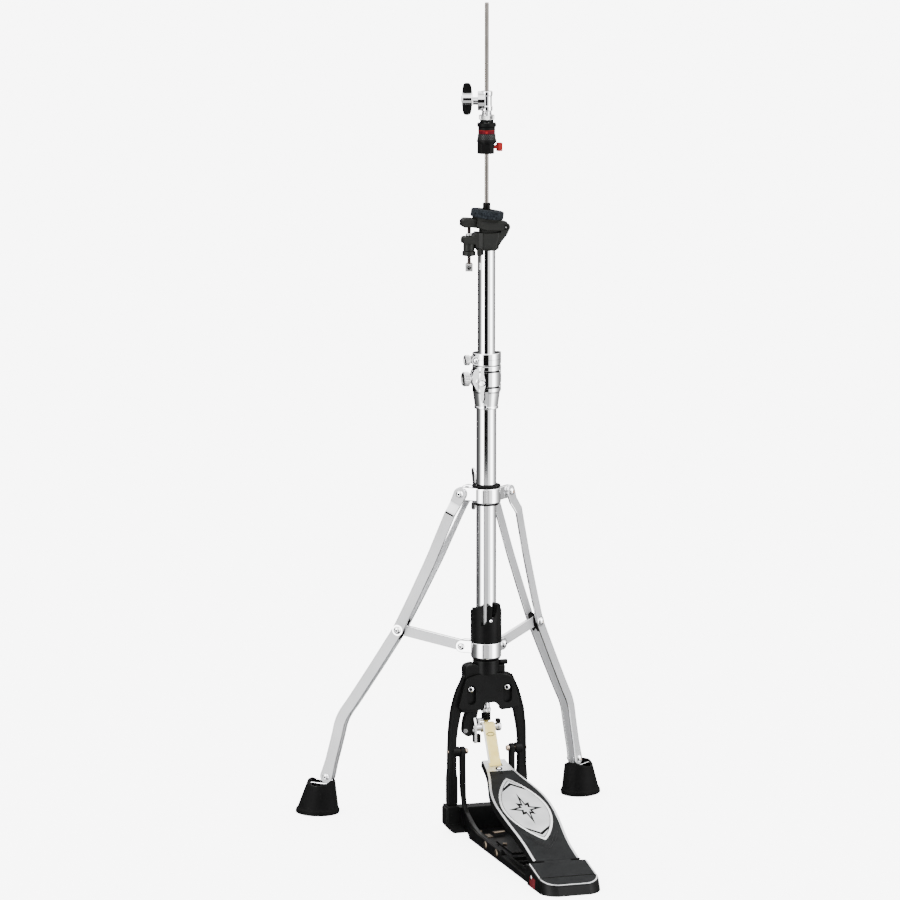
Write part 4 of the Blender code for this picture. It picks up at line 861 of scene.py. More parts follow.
RIGHT_EDGE = [(-1, 34.4), (20, 34.2), (48, 34.8), (78, 38), (110, 42.2), (145, 45), (176, 44.2), (200, 40.4),
              (225, 33), (250, 25.4), (272, 21), (290, 19.4), (297, 18)]
LEFT_EDGE = [(-1, 33.6), (20, 33.2), (50, 32.8), (80, 34), (103, 36), (150, 38.4), (175, 38), (198, 35),
             (225, 28), (250, 21.2), (272, 17.6), (290, 16.8), (297, 15.6)]


def edge_at(table, u):
    for (u0, v0), (u1, v1) in zip(table, table[1:]):
        if u <= u1:
            t = max(0.0, (u - u0) / (u1 - u0))
            return v0 + (v1 - v0) * t
    return table[-1][1]


def board_outline(inset, start, end, count=44):
    """X across, Y up the board. The edges are averaged over 30 mm to keep the curve smooth."""

    def width(table, u):
        spread = [edge_at(table, u + 30 * (k / 8 - 0.5)) for k in range(9)]
        return sum(spread) / 9 - inset

    stops = [start + (end - start) * i / count for i in range(count + 1)]
    right = [(width(RIGHT_EDGE, u), u) for u in stops]
    left = [(-width(LEFT_EDGE, u), u) for u in reversed(stops)]
    return soften(right + left, 2.2, True, 3) if start > 5 else right + left


def strap_way():
    return cuboid((-9.6, 275.6, -30), (9.6, 285.4, 20), BOARD, 0)


def make_footboard():
    levels = ((4, 6, 288, -3.4), (3.4, 4, 291, -9.6), (0.5, 2.4, 295.6, -10), (0, 2, 296, -9.4),
              (0, 2, 296, -1.2), (0.5, 2.4, 295.6, -0.3), (1.2, 3, 295, 0))
    loops = [[(x, y, z) for x, y in even(board_outline(*edges), 90)] for *edges, z in levels]
    meshes = boolean([rows(loops, BOARD)], [strap_way()])
    meshes.append(cuboid((-33.6, -5.8, -17), (33.6, 9, -3), BOARD, 3))
    for x in (-14, 14):
        meshes.append(cuboid((x - 1.2, 12, -8.6), (x + 1.2, 262, -3), BOARD, 0.5))
    show("board_casting", "pedal", "casting", meshes, "footboard", sharp=34)
    skin = prism(board_outline(0.7, 3.6, 295.2), 0.02, 0.7, BOARD, 0.25, 2)
    show("board_rim", "pedal", "silver", boolean([skin], [strap_way()]))
    show("board_tread", "pedal", "tread", [prism(board_outline(4, 0.6, 261), 0.3, 1.3, BOARD, 0.35, 2)],
         "traction_pad")
    make_emblem()
    place = BOARD @ at(1.2, 268.5, 0.7)
    # A black ring around the toe bolt: painted shade in its recess.
    cup = lathe(soften([(2.6, 0.7), (5, 0.7), (5, 0.1), (2.6, 0.1)], 0.25, True, 2), place, 48)
    show("toe_bolt_shade_ring", "pedal", "shade_and_print_black", [cup])
    dome = lathe(soften([(0, 2), (2.4, 1.4), (3.2, 0), (0, 0)], 0.8, False, 4), place, 48)
    show("toe_bolt_fine", "pedal", "chrome", [dome, rounded_rod(2.2, -9, 0, place, 0.3, 24)], "toe_bolt")
    # A black patch on the tread: painted shade in its slot.
    slot = soften([(-2.6, 252), (2.6, 252), (2.6, 255.6), (-2.6, 255.6)], 1, True)
    show("tread_slot_shade", "pedal", "shade_and_print_black", [prism(slot, 1.25, 1.42, BOARD, 0.05, 1)])
    # A black sheet inside the strap's slot through the board: painted shade.
    show("strap_way_shade", "pedal", "shade_and_print_black", [cuboid((-9.4, 275.8, -6.2), (9.4, 285.2, -5.8), BOARD, 0)])


def even(outline, count):
    """The closed outline, sampled at count even steps."""
    closed = [Vector(p) for p in outline] + [Vector(outline[0])]
    reach = [0.0]
    for a, b in zip(closed, closed[1:]):
        reach.append(reach[-1] + (b - a).length)
    made, i = [], 0
    for k in range(count):
        s = reach[-1] * k / count
        while reach[i + 1] < s:
            i += 1
        t = (s - reach[i]) / max(reach[i + 1] - reach[i], 1e-9)
        made.append(tuple(closed[i].lerp(closed[i + 1], t)))
    return made


def shield(scale_x, scale_y):
    """A pointed oval: two bowed sides that meet at the top and the bottom."""
    right = []
    for i in range(25):
        t = i / 24
        bow = abs(math.sin(math.pi * t)) ** 0.82
        right.append((scale_x * bow, scale_y * (2 * t - 1)))
    return mirror(right)


def make_emblem():
    place = BOARD @ at(2.4, 147.5, 0)

    def layer(name, paint, outline, low, high):
        show(name, "pedal", paint, [prism(outline, low, high, place, 0.06, 1)])

    layer("emblem_border", "white_metal", shield(33.4, 90.5), 1.28, 1.46)
    layer("emblem_line", "shade_and_print_black", shield(30.4, 84), 1.40, 1.50)
    layer("emblem_field", "emblem", shield(29.6, 82), 1.44, 1.56)
    for sign in (1, -1):
        outer = [(-15, 60), (0, 76), (15, 60), (17.5, 52), (0, 69), (-17.5, 52)]
        outline = [(x, sign * y) for x, y in outer]
        layer(f"emblem_stroke_{'top' if sign > 0 else 'bottom'}", "shade_and_print_black", outline, 1.52, 1.62)
    star = []
    for i in range(16):
        angle = math.pi * i / 8 + math.pi / 2
        radius = 19 if i % 4 == 0 else (10.5 if i % 2 == 0 else 6.4)
        star.append((radius * 1.3 * math.cos(angle), radius * 2.4 * math.sin(angle)))
    layer("emblem_star", "shade_and_print_black", star, 1.52, 1.62)
    layer("emblem_star_core", "emblem", [(x * 0.55, y * 0.55) for x, y in star], 1.58, 1.68)
    strokes = []
    for w, top_u, tip_u in ((27, 79, 32), (19, 70, 40)):
        points = [(-w * 0.9, top_u, 1.32), (-w * 0.5, (top_u + tip_u) / 2 - 3, 1.32), (1, tip_u, 1.32),
                  (w * 0.6, (top_u + tip_u) / 2 - 1, 1.32), (w, top_u, 1.32)]
        smooth = []
        for a, b in zip(points, points[1:]):
            smooth += [tuple(Vector(a).lerp(Vector(b), k / 6)) for k in range(6)]
        strokes.append(sweep(smooth + [points[-1]], 0.42, BOARD, 6))
    show("tread_chevrons", "pedal", "casting", strokes)
    # Black strips on the heel and in the board's gap at the hinge: painted shade between the parts.
    shaded_gaps, shade_lines = [], []
    for side in (-1, 1):
        shaded_gaps.append(flank(side, 20, 34, (-1.6, 0.9), (1.4, 1.45), BOARD, 0.1))
        shade_lines.append(flank(side, 20, 34, (-5.6, 0.3), (-3.4, 1.34), BOARD, 0.1))
        shade_lines.append(flank(side, 18.4, 20.4, (-27, 0.3), (-1, 1.34), BOARD, 0.1))
    show("hinge_shade_lines", "frame", "shade_and_print_black", shade_lines)
    show("hinge_gap_shade", "pedal", "shade_and_print_black", shaded_gaps)


# The strap drive under the rod.


def coil(x, y, radius, low, high, turns, wire, per_turn=20):
    points = []
    for i in range(turns * per_turn + 1):
        angle = 2 * math.pi * i / per_turn
        points.append((x + radius * math.cos(angle), y + radius * math.sin(angle),
                       low + (high - low) * i / (turns * per_turn)))
    return sweep(points, wire, sides=10)


def make_drive():
    castle = soften([(0, 178.6), (6.2, 178.6), (7.1, 177.6), (7.1, 173.4), (6.2, 172.4), (0, 172.4)], 0.4,
                    False, 3)
    show("castle_nut", "rod", "steel", [lathe(castle, steps=96, ripples=12, depth=0.9, rippled=6.6)],
         "rod_nut")
    show("drive_spring", "rod", "plastic", [coil(0, 0, 5.7, 160.4, 171, 4, 1.25)])
    axle = at(-1.5, *STRAP_AXLE) @ along(RIGHT)
    hub = [rounded_rod(5, -21.4, 13.4, axle, 0.6), rounded_rod(6.4, 13, 20.4, axle, 2.6)]
    cheek = [(-18, 131), (-6, 131), (-5.5, 157), (-12, 168), (-18, 157)]
    hub += [rounded_rod(4, 158, 172, steps=40), cuboid((-16, -4, 159.4), (6, 4, 163), bevel=1),
            cuboid((-16, -12, 150), (-12, 3.6, 163), bevel=1), peg((-23.8, -11, 148), RIGHT, 3, 2, 0.6, 32),
            prism(soften(cheek, 1.6, True), -22.4, -19, SIDEWAYS, 0.7)]
    show("strap_yoke", "rod", "steel", hub, "strap_hub")
    show("yoke_blocks", "rod", "plastic", [cuboid((-17.4, -15, 130.6), (-12.2, -6, 143), bevel=1),
                                           cuboid((12, -13, 157.6), (18, -5, 163.4), bevel=1.4)])
    make_strap()


def strap_line(radius, tail):
    """The strap's YZ path: over the axle from behind, then straight down to the footboard's slot."""
    foot = Vector(HINGE) + STRAP_REACH * Vector((math.cos(BOARD_SLOPE), math.sin(BOARD_SLOPE)))
    drop = Vector((foot.x - STRAP_AXLE[0] + 5.3, foot.y - STRAP_AXLE[1]))
    lean = math.degrees(math.atan2(drop.y, drop.x))
    over = arc(STRAP_AXLE, radius, -80, lean + 270, 28)
    y, z = over[-1]
    return over + [(y + drop.x * tail * k / 12, z + drop.y * tail * k / 12) for k in range(1, 13)]


def band(inner, outer, tail, x0, x1):
    under = list(reversed(strap_line(inner, tail)))
    return prism(strap_line(outer, tail) + under, x0, x1, SIDEWAYS, 0.4, 2)


def make_strap():
    show("strap_webbing", "strap", "strap", [band(5.3, 7.5, 1.11, -9.6, 8.2)], "strap")
    show("strap_binding", "strap", "strap_edge", [band(5.4, 8.0, 1.02, -9.9, -7.6)])
    line = strap_line(7.62, 1.0)
    stitches = []
    for x in (-5.6, 6.0):
        for i in range(12, len(line) - 2):
            a, b = Vector(line[i]), Vector(line[i + 1])
            steps = max(1, round((b - a).length / 2.4))
            for k in range(steps):
                p, q = a.lerp(b, (k + 0.2) / steps), a.lerp(b, (k + 0.75) / steps)
                if (q - p).length > 0.3:
                    stitches.append(sweep([(x, p.x, p.y), (x, q.x, q.y)], 0.26, sides=6))
    show("strap_stitches", "strap", "strap_edge", stitches)
    top, foot = Vector(line[28]), Vector(line[-1])
    down = (foot - top).normalized()
    oval = []
    for i in range(36):
        angle = 2 * math.pi * i / 36
        spot = top + down * (13 + 2.6 * math.sin(angle))
        oval.append((-0.6 + 5.4 * math.cos(angle), spot.x, spot.y))
    show("strap_eyelet", "strap", "shade_and_print_black", [sweep(oval, 0.45, sides=8, closed=True)])


# The height clamp and the memory lock above it.


def knob(name, body, place, radius, length, stem, replaced):
    """A knurled knob with a dished end, and its stud."""
    profile = [(0, length - 1.2), (radius * 0.55, length - 1.2), (radius * 0.66, length),
               (radius * 0.9, length), (radius, length - 1.2), (radius, 1.6), (radius * 0.88, 0.2),
               (radius * 0.5, 0), (0, 0)]
    head = lathe(soften(profile, 0.4, False, 2), place, 144, 30, radius * 0.07, radius * 0.95)
    show(name, body, "steel", [head, rounded_rod(2.3, -stem, 1, place, 0.3, 24)], replaced)


def make_clamp():
    profile = [(12.8, 672.6), (19.5, 672.6), (19.9, 672.1), (19.9, 666.4), (18, 666.1), (18, 664.1),
               (19.9, 663.8), (19.9, 643.9), (18, 643.6), (18, 641.7), (19.9, 641.4), (19.9, 636.6),
               (19.5, 635.6), (19.1, 634), (16.5, 615), (17.1, 614.2), (17.1, 611.8), (16.5, 611.1),
               (14.7, 611.1), (14.7, 667.4), (12.8, 667.4)]
    body = [lathe(soften(profile, 0.35, True, 2), steps=128)]
    for y0, y1 in ((-13, -7), (-5, 1)):
        ear_shape = [(-24.5, 660), (-22, 668), (-14, 671), (-14, 636), (-19, 640), (-24.5, 650)]
        body.append(upright_y(soften(ear_shape, 2, True), y0, y1, 1.6))
    for x0, x1, r in ((3, 4.6, 6.4), (5.4, 6.6, 5.6), (7.4, 8.6, 5.2)):
        body.append(rounded_rod(r, -x1, -x0, at(-18.4, -6, 655) @ along(RIGHT), 0.5))
    turn = spin(-32.5)
    rib = [(-2.4, 672.4), (2.8, 672.4), (2.2, 662), (4.4, 654), (4.6, 645), (2.6, 638), (2.6, 628), (0, 621),
           (-2.6, 628), (-2.8, 638), (-4.6, 645), (-4.4, 654), (-2.4, 662)]
    show("clamp_rib", "frame", "steel", [upright_y(soften(rib, 1.2, True, 3), -23.4, -18, 0.9, turn)])
    for z0, z1, r in ((634.5, 645.4, 5.3), (646.2, 659.8, 5.6), (660.6, 672.4, 5.3)):
        body.append(rounded_rod(r, z0, z1, at(18.6, 7, 0), 0.8))
        body.append(cuboid((11, 7.5, z0), (18.6, 12, z1), bevel=1))
    body.append(cuboid((-5.8, -17.9, 613), (-1.4, -16.4, 618.4), spin(-12), 0.6))
    show("clamp_casting", "frame", "chrome", body, "height_clamp", sharp=32)
    # Black rings in the clamp's grooves, a black outline behind the rib and a black block between the ears:
    # painted shade.
    shaded_gaps = [tube(18.6, 14.6, 663.9, 666.3), tube(18.6, 14.6, 641.5, 643.8), tube(18.9, 13, 672.4, 673.8),
            upright_y(soften([(x * 1.28, z - 0.4) for x, z in rib], 1.2, True, 3), -20.2, -18, 0.2, turn),
            cuboid((-22, -7.2, 637), (-15, -4.8, 670), bevel=0.2)]
    show("clamp_gap_shade", "frame", "shade_and_print_black", shaded_gaps)
    # A black patch on the clamp's lower block: painted shade in its window.
    show("clamp_window_shade", "frame", "shade_and_print_black", [cuboid((-4.9, -18.05, 614), (-2.3, -17.5, 617.4), spin(-12), 0.3)])
    bolt = turn @ at(0, -23.6, 649.5) @ spin(90, "X")
    hexagon = lathe(soften([(0, 3.4), (3.8, 3.4), (4.6, 2.6), (4.6, 0.8), (0, 0.8)], 0.3, False, 2), bolt, 6)
    show("clamp_bolt", "frame", "chrome", [hexagon], sharp=30)
    # A black disc under the hex bolt: painted shade around its head.
    show("clamp_bolt_shade", "frame", "shade_and_print_black",
         [lathe([(0, 0.4), (4.7, 0.4), (4.7, -0.2), (0, -0.2)], bolt, 48)])
    knob("clamp_knob_fine", "clamp_knob", at(-27.4, -6, 655) @ along((-1, 0, 0)), 10.4, 9.5, 9, "clamp_knob")

    ring_profile = [(12.8, 690.7), (19.4, 690.7), (19.9, 690), (19.9, 674.2), (19.4, 673.5), (12.8, 673.5)]
    lock = [lathe(soften(ring_profile, 0.35, True, 2), steps=128)]
    for y0, y1 in ((-11.4, -6), (-4, 1.6)):
        loop = arc((-19, 681.4), 6.4, 70, 290, 18) + [(-12.6, 674.8), (-12.6, 688)]
        lock.append(upright_y(soften(loop, 0.8, True), y0, y1, 1.4))
    lock.append(rounded_rod(5.3, 673.6, 690.4, at(18.6, 7, 0), 0.8))
    lock.append(cuboid((11, 7.5, 674), (18.6, 12, 690), bevel=1))
    show("memory_ring", "memory_lock", "chrome", lock, "memory_lock", sharp=32)
    socket_bolt("memory_ring_bolt", "memory_lock", at(-19, -11.4, 681.2) @ spin(90, "X"), 3.8, 2.4, 1.3)
    # A black block between the ring's ears, a black line in its groove and a black ring round the bolt:
    # painted shade.
    show("memory_gap_shade", "memory_lock", "shade_and_print_black", [
        cuboid((-20, -6.2, 676), (-13, -3.8, 688), bevel=0.2), tube(19.98, 18.6, 681.9, 682.3, round_by=0.1),
        lathe([(3.9, 0.3), (4.7, 0.3), (4.7, -0.2), (3.9, -0.2)], at(-19, -11.5, 681.2) @ spin(90, "X"), 40)])
    knob("memory_knob_fine", "memory_bolt", at(-26.4, -5, 681.7) @ along((-1, 0, 0)), 7.6, 7.5, 9,
         "memory_bolt")


# The tilter: the cup on the tube, the rocking seat, its felt and the tilt screw.


def fuzz(mesh, amount, scale):
    """Pushes the points in and out by a fixed noise, for felt."""
    for vertex in mesh.vertices:
        push = noise.noise(vertex.co * scale) + 0.5 * noise.noise(vertex.co * scale * 2.7)
        vertex.co += vertex.normal * push * amount * MM
    return mesh


def make_tilter():
    plan = [(-16.6, -7), (-9.6, -13.6), (11, -13.6), (16, -8), (16.4, 8), (11, 13), (-10, 13), (-16.6, 8)]
    wide = [(-16.8, -7.4), (-9.4, -14.6), (15, -14), (21.5, -9), (21.5, 8), (15, 13), (-10, 13), (-16.8, 8)]
    levels = ((0.965, 838.2, 0), (1, 839.4, 0), (1, 846, 0.12), (1, 857, 0.75), (1, 866.6, 1),
              (0.97, 867.6, 1))
    loops = []
    for grow, z, widen in levels:
        loop = [(a + (c - a) * widen, b + (d - b) * widen) for (a, b), (c, d) in zip(plan, wide)]
        loops.append([(x * grow, y * grow, z) for x, y in soften(loop, 1.6, True, 4)])
    way = lathe([(0, 920), (5.9, 920), (5.9, 850.4), (12.8, 850.4), (12.8, 830), (0, 830)], steps=64)
    pocket = cuboid((-12.6, -11, 853.5), (20, 9.6, 880), bevel=0)
    slope = [(-60, 864.6), (-19, 862.8), (-12, 862), (-4, 860.8), (10, 861), (22, 862.4), (60, 862.2),
             (60, 900), (-60, 900)]
    body = boolean([rows(loops)], [way, prism(slope, -40, 40, UPRIGHT), pocket])
    body.append(tube(15.4, 12.8, 836.6, 838.4, round_by=0.5, steps=96))
    bracket = [(-36, 847), (-36, 855), (-33.5, 857), (-21, 857), (-17, 862), (-14, 862), (-14, 839.4),
               (-18, 840.4), (-19, 846)]
    body.append(upright_y(soften(bracket, 2, True), -9.6, 7.4, 1.6))
    screw_seat = at(-26.4, -1, 0)
    body += [rounded_rod(8, 836.4, 848, screw_seat, 1), tube(9.4, 3, 829.4, 836, screw_seat, 1.2)]
    cheek = arc((24.6, 869.2), 6.2, -40, 170, 20) + [(17, 862), (13, 856), (13, 841), (19, 850), (26, 858)]
    body += [upright_y(soften(cheek, 1.2, True), y0, y1, 1) for y0, y1 in ((-13.6, -9.4), (6.8, 10.8))]
    body.append(cuboid((-17, -13, 829.8), (-11.6, -7, 839.4), bevel=1))
    show("tilter_cup", "upper_tube", "tilter", body, "tilter_base", sharp=30)
    pin = at(24, -13.6, 869) @ spin(90, "X")
    show("tilt_pin_end", "upper_tube", "plastic", [rounded_rod(2.5, -25, 0.3, pin, 0.4, 32)])
    # A black ring around the pin's end: painted shade where it enters the cheek.
    show("tilt_pin_shade_ring", "upper_tube", "shade_and_print_black",
         [lathe([(2.6, 0.15), (3.8, 0.15), (3.8, -0.2), (2.6, -0.2)], pin, 40)])
    show("tilt_pin_tip", "upper_tube", "steel", [rounded_rod(0.9, 0, 0.6, pin, 0.3, 20)])
    show("tilt_coil", "upper_tube", "steel", [coil(-26, -1, 4.2, 857.6, 861, 2, 0.8)])

    seat = SEAT @ at(-25.2, 1, 8)
    rocker = [(-27, 883), (-34, 883.4), (-38, 880), (-38.4, 873), (-34, 869.4), (-27, 870), (-12, 867.6),
              (-4, 865.2), (22, 863.8), (27, 865), (29, 869), (28, 876.6)]
    shaped = upright_y(soften(rocker, 1.6, True), -9.2, 6.6, 1.8)
    skirt = [(-16, 884.6), (-19, 871), (-12, 867.6), (-4, 865.2), (22, 863.8), (22, 876.6), (16, 879.4)]
    shaped = merged([shaped, upright_y(soften(skirt, 1.6, True), -14.4, 12, 3)])
    tongue = cuboid((-9.5, -8.6, 859.5), (16, 7.2, 868), bevel=0.8)
    screw_way = lathe([(0, 920), (4.4, 920), (4.4, 840), (0, 840)], at(*TILT_SCREW), 24)
    end = upright_y(soften([(-38, 872), (-38, 880), (-27, 883), (-27, 871)], 1, True), -8, 6, 1.2)
    parts = [shaped, tongue, *boolean([end], [screw_way])]
    dish = soften([(8.8, 1.2), (20.2, 1.2), (20.8, 0.4), (18.6, -3.2), (8.8, -3.2)], 0.6, True)
    parts.append(lathe(dish, seat, 96))
    show("seat_rocker", "seat", "tilter", parts, "seat_plate", sharp=34)
    felt = [(8.8, 12.6), (9.4, 13)] + [(10 + k * 1.2, 13) for k in range(10)] + [(22.3, 12.5), (23.1, 11.4)]
    felt += [(23.3, 10 - k) for k in range(8)] + [(23, 2.2), (22.2, 1.5)]
    felt += [(20.5 - k * 2.2, 1.3) for k in range(6)]
    show("cymbal_felt", "seat", "felt", [fuzz(lathe(felt + [(8.8, 1.4)], seat, 180), 0.35, 1100)],
         "seat_felt", sharp=70)
    sleeve = [(3.3, 903), (5, 903), (5.4, 902.2), (5.4, 892), (5.15, 891.6), (5.4, 891.2), (5.4, 850.9),
              (3.3, 850.9)]
    show("rod_bushing", "upper_tube", "plastic", [lathe(sleeve, steps=72)], "seat_bushing")
    screw = [(0, 880.4), (2.3, 880.4)]
    for i in range(60):
        z = 879.6 - i
        screw += [(2.7, z), (2.25, z - 0.4)]
    screw += [(4.4, 818.8), (4.4, 817.2), (0, 817.2)]
    head = cuboid((-5.4, -5.4, 807.4), (5.4, 5.4, 817.8), at(*TILT_SCREW) @ spin(-18), 1)
    show("tilt_screw_fine", "tilt_screw", "rod_chrome", [lathe(screw, at(*TILT_SCREW), 40)], "tilt_screw")
    show("tilt_screw_head", "tilt_screw", "silver", [head])
    diamond = at(*TILT_SCREW) @ at(0, 0, 812.6) @ spin(-18) @ at(0, -5.38, 0) @ spin(90, "X") @ spin(45)
    # A black diamond on the screw head's side: painted shade in its hole.
    show("tilt_screw_hole_shade", "tilt_screw", "shade_and_print_black", [cuboid((-2.3, -2.3, 0), (2.3, 2.3, 0.16), diamond, 0.1)])
    show("tilt_screw_stud", "tilt_screw", "steel", [cuboid((-1.1, -1.1, 0), (1.1, 1.1, 0.5), diamond, 0.2)])


# The clutch.


def make_clutch():
    tee = [(3.3, 1060.2), (7.4, 1060.2), (8.2, 1059.4), (8.2, 1054.2), (7.2, 1053.4), (7.2, 1039.6),
           (8.2, 1038.8), (8.2, 1033.2), (7.4, 1032.2), (3.3, 1031.8)]
    tee = soften(tee, 0.5, True, 3)
    side = TO_CAMERA @ at(0, 0, 1046.4) @ along((-1, 0, 0))
    body = [lathe(tee, steps=96), rounded_rod(13.4, 2.4, 12.6, side, 0.9, 96)]
    body.append(rounded_rod(5.5, 8, 19.6, side @ at(2.6, 0, 0), 0.4))
    body.append(lathe(soften([(3.3, 1031.8), (6.4, 1031.8), (6.4, 974), (3.3, 974)], 0.5, True), steps=64))
    show("clutch_tee", "clutch", "chrome", body, "clutch_body", sharp=32)
    make_clutch_wing()
    small = soften([(3.4, 1031.7), (6.6, 1031.7), (7.2, 1030.6), (7.2, 1027.2), (3.4, 1027.2)], 0.3, True, 2)
    show("clutch_lock_nut", "clutch", "steel", [lathe(small, steps=6)], sharp=30)
    knurled = soften([(6.9, 1026.6), (10.4, 1026.6), (11, 1025.8), (11, 1021), (10.4, 1020.2), (6.9, 1020.2)],
                     0.4, True, 2)
    show("clutch_knurled_nut", "clutch_nut", "steel",
         [lathe(knurled, steps=160, ripples=40, depth=0.6, rippled=10.8)], "clutch_nut", sharp=24)
    collar = soften([(6.9, 1020), (9, 1020), (9.4, 1019.4), (9.4, 1016.2), (6.9, 1016)], 0.3, True, 2)
    show("clutch_nut_collar", "clutch_nut", "plastic", [lathe(collar, steps=72)])
    profile = [(6.9, 1015.6), (12.8, 1015.6), (13.4, 1014.8), (13.4, 1010.9), (12.8, 1010.2), (11.9, 1009.6),
               (11.9, 1005.6), (11.4, 1005.1), (11.4, 1000.6), (12, 1000.2), (12.3, 996), (13.4, 992),
               (13.9, 991.4), (13.9, 988.7), (13.3, 988.2), (6.9, 988.2)]
    show("clutch_sleeve_fine", "clutch", "plastic", [lathe(soften(profile, 0.35, True, 2), steps=112)],
         "clutch_sleeve")
    show("clutch_ring", "clutch", "red", [tube(12.15, 11.2, 1004.9, 1005.7, round_by=0.25, steps=112)])
    show("clutch_band", "clutch", "dark_red", [tube(11.9, 11, 1000.6, 1004.8, round_by=0.3, steps=112)])
    dot = TO_CAMERA @ at(0, -11.95, 1002.7) @ spin(90, "X")
    show("clutch_dot", "clutch", "red",
         [lathe(soften([(0, 0.4), (1.5, 0.3), (1.7, 0), (0, 0)], 0.3, False, 2), dot, 32)])
    grips = []
    for row in range(4):
        z = 999 - row * 1.9
        for i in range(28):
            turn = spin(360 * (i + 0.5 * (row % 2)) / 28)
            r = 12.1 + 0.045 * (row * 1.9) ** 1.4
            stud = turn @ at(0, -r, z) @ spin(90, "X") @ spin(45)
            grips.append(cuboid((-0.78, -0.78, -0.4), (0.78, 0.78, 0.5), stud, 0.3, 1))
    show("clutch_grips", "clutch", "knurl", grips)
    half = [(-13.206, -5.022), (-7.812, -11.532), (5.208, -11.532), (10.602, -5.952)]
    block = prism(half + [(x, -y) for x, y in reversed(half)], 972.5, 987.6, TO_CAMERA, 1.1)
    cutter = lathe([(0, 990), (6.9, 990), (6.9, 970), (0, 970)], steps=64)
    made = boolean([block], [cutter])
    made.append(tube(12.6, 7, 986.4, 988, round_by=0.4, steps=96))
    show("clutch_block", "clutch", "plastic", made, "clutch_base", sharp=32)
    lever = [rounded_rod(2.6, 8, 17, at(0, -1, 981.6) @ along((1, 0, 0)), 0.4, 40)]
    grip = [(15, -5.6), (21.4, -5), (22.6, -3), (22.6, 3), (21.4, 4.6), (15, 4.6)]
    lever.append(prism(soften(grip, 2.2, True), 975.4, 987, bevel=2.2))
    show("release_lever", "clutch_release", "red", lever, "clutch_release")


def make_clutch_wing():
    place = TO_CAMERA @ at(-19.6, 0, 1049) @ along((-1, 0, 0))
    hub = soften([(0, 16), (4, 16), (4.6, 15.2), (9.3, 15), (10.1, 14.2), (10.1, 1.2), (9.3, 0.4), (0, 0.2)],
                 0.5, False, 3)
    show("wing_hub", "clutch_wing", "chrome",
         [lathe(hub, place, 96), rounded_rod(2.5, -11, 1, place, 0.3, 24)], "clutch_wing")
    half = [(-7.4, 7), (-7.2, 13), (-6, 19.4), (-3.4, 22.6), (3.4, 22.6), (5.6, 19), (6.4, 13), (6.6, 7)]
    face, wings = TO_CAMERA @ at(-19.6, 0, 1049) @ WING_TURN, []
    for sign in (1, -1):
        outline = [(x + 8.2, sign * y) for x, y in half]
        wings.append(prism(soften(outline, 3, True), -2.9, 2.9, face, 1.8))
    show("wing_grips", "clutch_wing", "rubber", wings)


# The studio.


def staged(name, data):
    obj = bpy.data.objects.new(name, data)
    bpy.context.scene.collection.objects.link(obj)
    return obj


def make_sky():
    """Bright soft panels either side of the lens and above, for glossy surfaces; an even sky for the rest."""
    world = bpy.data.worlds.new("studio")
    bpy.context.scene.world = world
    world.use_nodes = True
    tree = world.node_tree
    generated = node(tree, "TexCoord").outputs["Generated"]
    turned = node(tree, "Mapping", Rotation=(0, 0, CAMERA_BEARING), Vector=generated).outputs["Vector"]
    split = node(tree, "SeparateXYZ", Vector=turned)
    toward = operated(tree, "Math", "MULTIPLY", split.outputs["Y"], -1).outputs[0]
    angle = operated(tree, "Math", "ARCTAN2", split.outputs["X"], toward).outputs[0]
    share = node(tree, "MapRange", From_Min=-math.pi, From_Max=math.pi, Value=angle).outputs["Result"]
    panels = [(-180, 0.05), (-130, 0.06), (-104, 0.14), (-85, 0.24), (-74, 0.6), (-62, 4), (-50, 9), (-38, 9),
              (-30, 6), (-25, 0.03), (-19, 0.004), (12, 0.006), (17, 0.04), (23, 1.4), (33, 2.2), (44, 2),
              (55, 8), (70, 9), (84, 3), (100, 1), (120, 0.45), (148, 0.3), (180, 0.08)]
    across = ramp(tree, share, [((a + 180) / 360, grey(v)) for a, v in panels])
    height = node(tree, "MapRange", From_Min=-1, From_Max=1, Value=split.outputs["Z"]).outputs["Result"]
    rise = ramp(tree, height, [(0, grey(0.1)), (0.22, grey(0.25)), (0.36, grey(1)), (0.9, grey(1)),
                               (1, grey(0.4))])
    above = ramp(tree, height, [(0.66, grey(0)), (0.72, grey(3)), (0.97, grey(3)), (1, grey(1))])
    studio = blended(tree, "ADD", blended(tree, "MULTIPLY", across, rise), above)
    glossy = node(tree, "LightPath").outputs["Is Glossy Ray"]
    seen = node(tree, "MixRGB", Fac=glossy, Color1=(*grey(SKY_LIGHT), 1), Color2=studio).outputs["Color"]
    set_inputs(tree, tree.nodes["Background"], Color=seen)


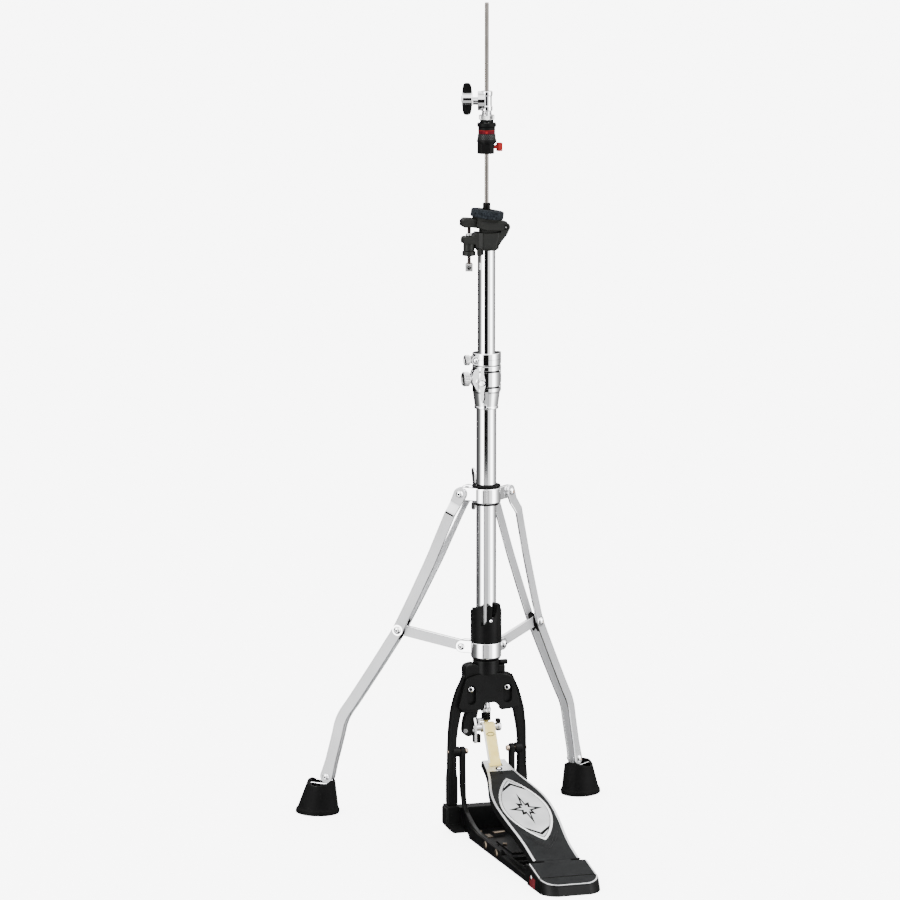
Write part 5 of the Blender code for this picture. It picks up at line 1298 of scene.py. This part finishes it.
def make_floor():
    made, tree, shader = blank("floor")
    color = ramp(tree, noise_of(tree, 3, 2.0), [(0.3, grey(0.88, 0.005)), (0.7, grey(0.9, 0.005))])
    to_camera = node(tree, "LightPath").outputs["Is Camera Ray"]
    lift = operated(tree, "Math", "MULTIPLY", to_camera, FLOOR_LIFT).outputs[0]
    set_inputs(tree, shader, Roughness=0.75, Specular_IOR_Level=0.1, Base_Color=color,
               Emission_Color=(1, 1, 1, 1), Emission_Strength=lift)
    mesh = bpy.data.meshes.new("floor")
    corners = [(-1, -1), (1, -1), (1, 1), (-1, 1)]
    mesh.from_pydata([(x * FLOOR_HALF, y * FLOOR_HALF, 0) for x, y in corners], [], [(0, 1, 2, 3)])
    mesh.materials.append(made)
    staged("floor", mesh).visible_glossy = False


def make_card():
    """A grey card on the floor, seen by glossy rays only: it lightens the middle of the lower tube."""
    made, tree, shader = blank("card")
    tone = ramp(tree, noise_of(tree, 2, 2.0), [(0.3, grey(0.6)), (0.7, grey(0.72))])
    set_inputs(tree, shader, Base_Color=(0, 0, 0, 1), Emission_Strength=1, Emission_Color=tone)
    near, far, half_angle, height = 0.55, 2.95, 19, 0.002
    ahead = math.pi / 2 + CAMERA_BEARING
    angles = [math.radians(half_angle * (i / 8 - 1)) - ahead for i in range(17)]
    points = [(near * math.cos(a), near * math.sin(a), height) for a in angles]
    points += [(far * math.cos(a), far * math.sin(a), height) for a in reversed(angles)]
    mesh = bpy.data.meshes.new("card")
    mesh.from_pydata(points, [], [tuple(range(len(points)))])
    mesh.materials.append(made)
    card = staged("card", mesh)
    for rays in ("camera", "diffuse", "shadow", "transmission"):
        setattr(card, f"visible_{rays}", False)


def make_light(name, location, target, size, power):
    data = bpy.data.lights.new(name, "AREA")
    data.shape = "DISK"
    data.size = size
    data.energy = power
    light = staged(name, data)
    light.location = location
    light.rotation_euler = (Vector(target) - Vector(location)).to_track_quat("-Z", "Y").to_euler()
    light.visible_glossy = False


def make_camera():
    data = bpy.data.cameras.new("camera")
    data.lens = LENS
    data.sensor_width = SENSOR
    data.clip_end = 200
    camera = staged("camera", data)
    camera.location = CAMERA_PLACE
    camera.rotation_euler = [math.radians(angle) for angle in CAMERA_TURN]
    bpy.context.scene.camera = camera


make_metals()
make_blacks()
make_colours()
make_tubes()
make_collar()
make_wing_bolt()
make_legs()
make_feet()
make_hub()
make_head()
make_base()
make_heel()
make_footboard()
make_drive()
make_clamp()
make_tilter()
make_clutch()
make_sky()
make_floor()
make_card()
make_light("key", (-2.5, -3.5, 4.5), (0, 0, 0.5), 2.5, 90)
make_camera()
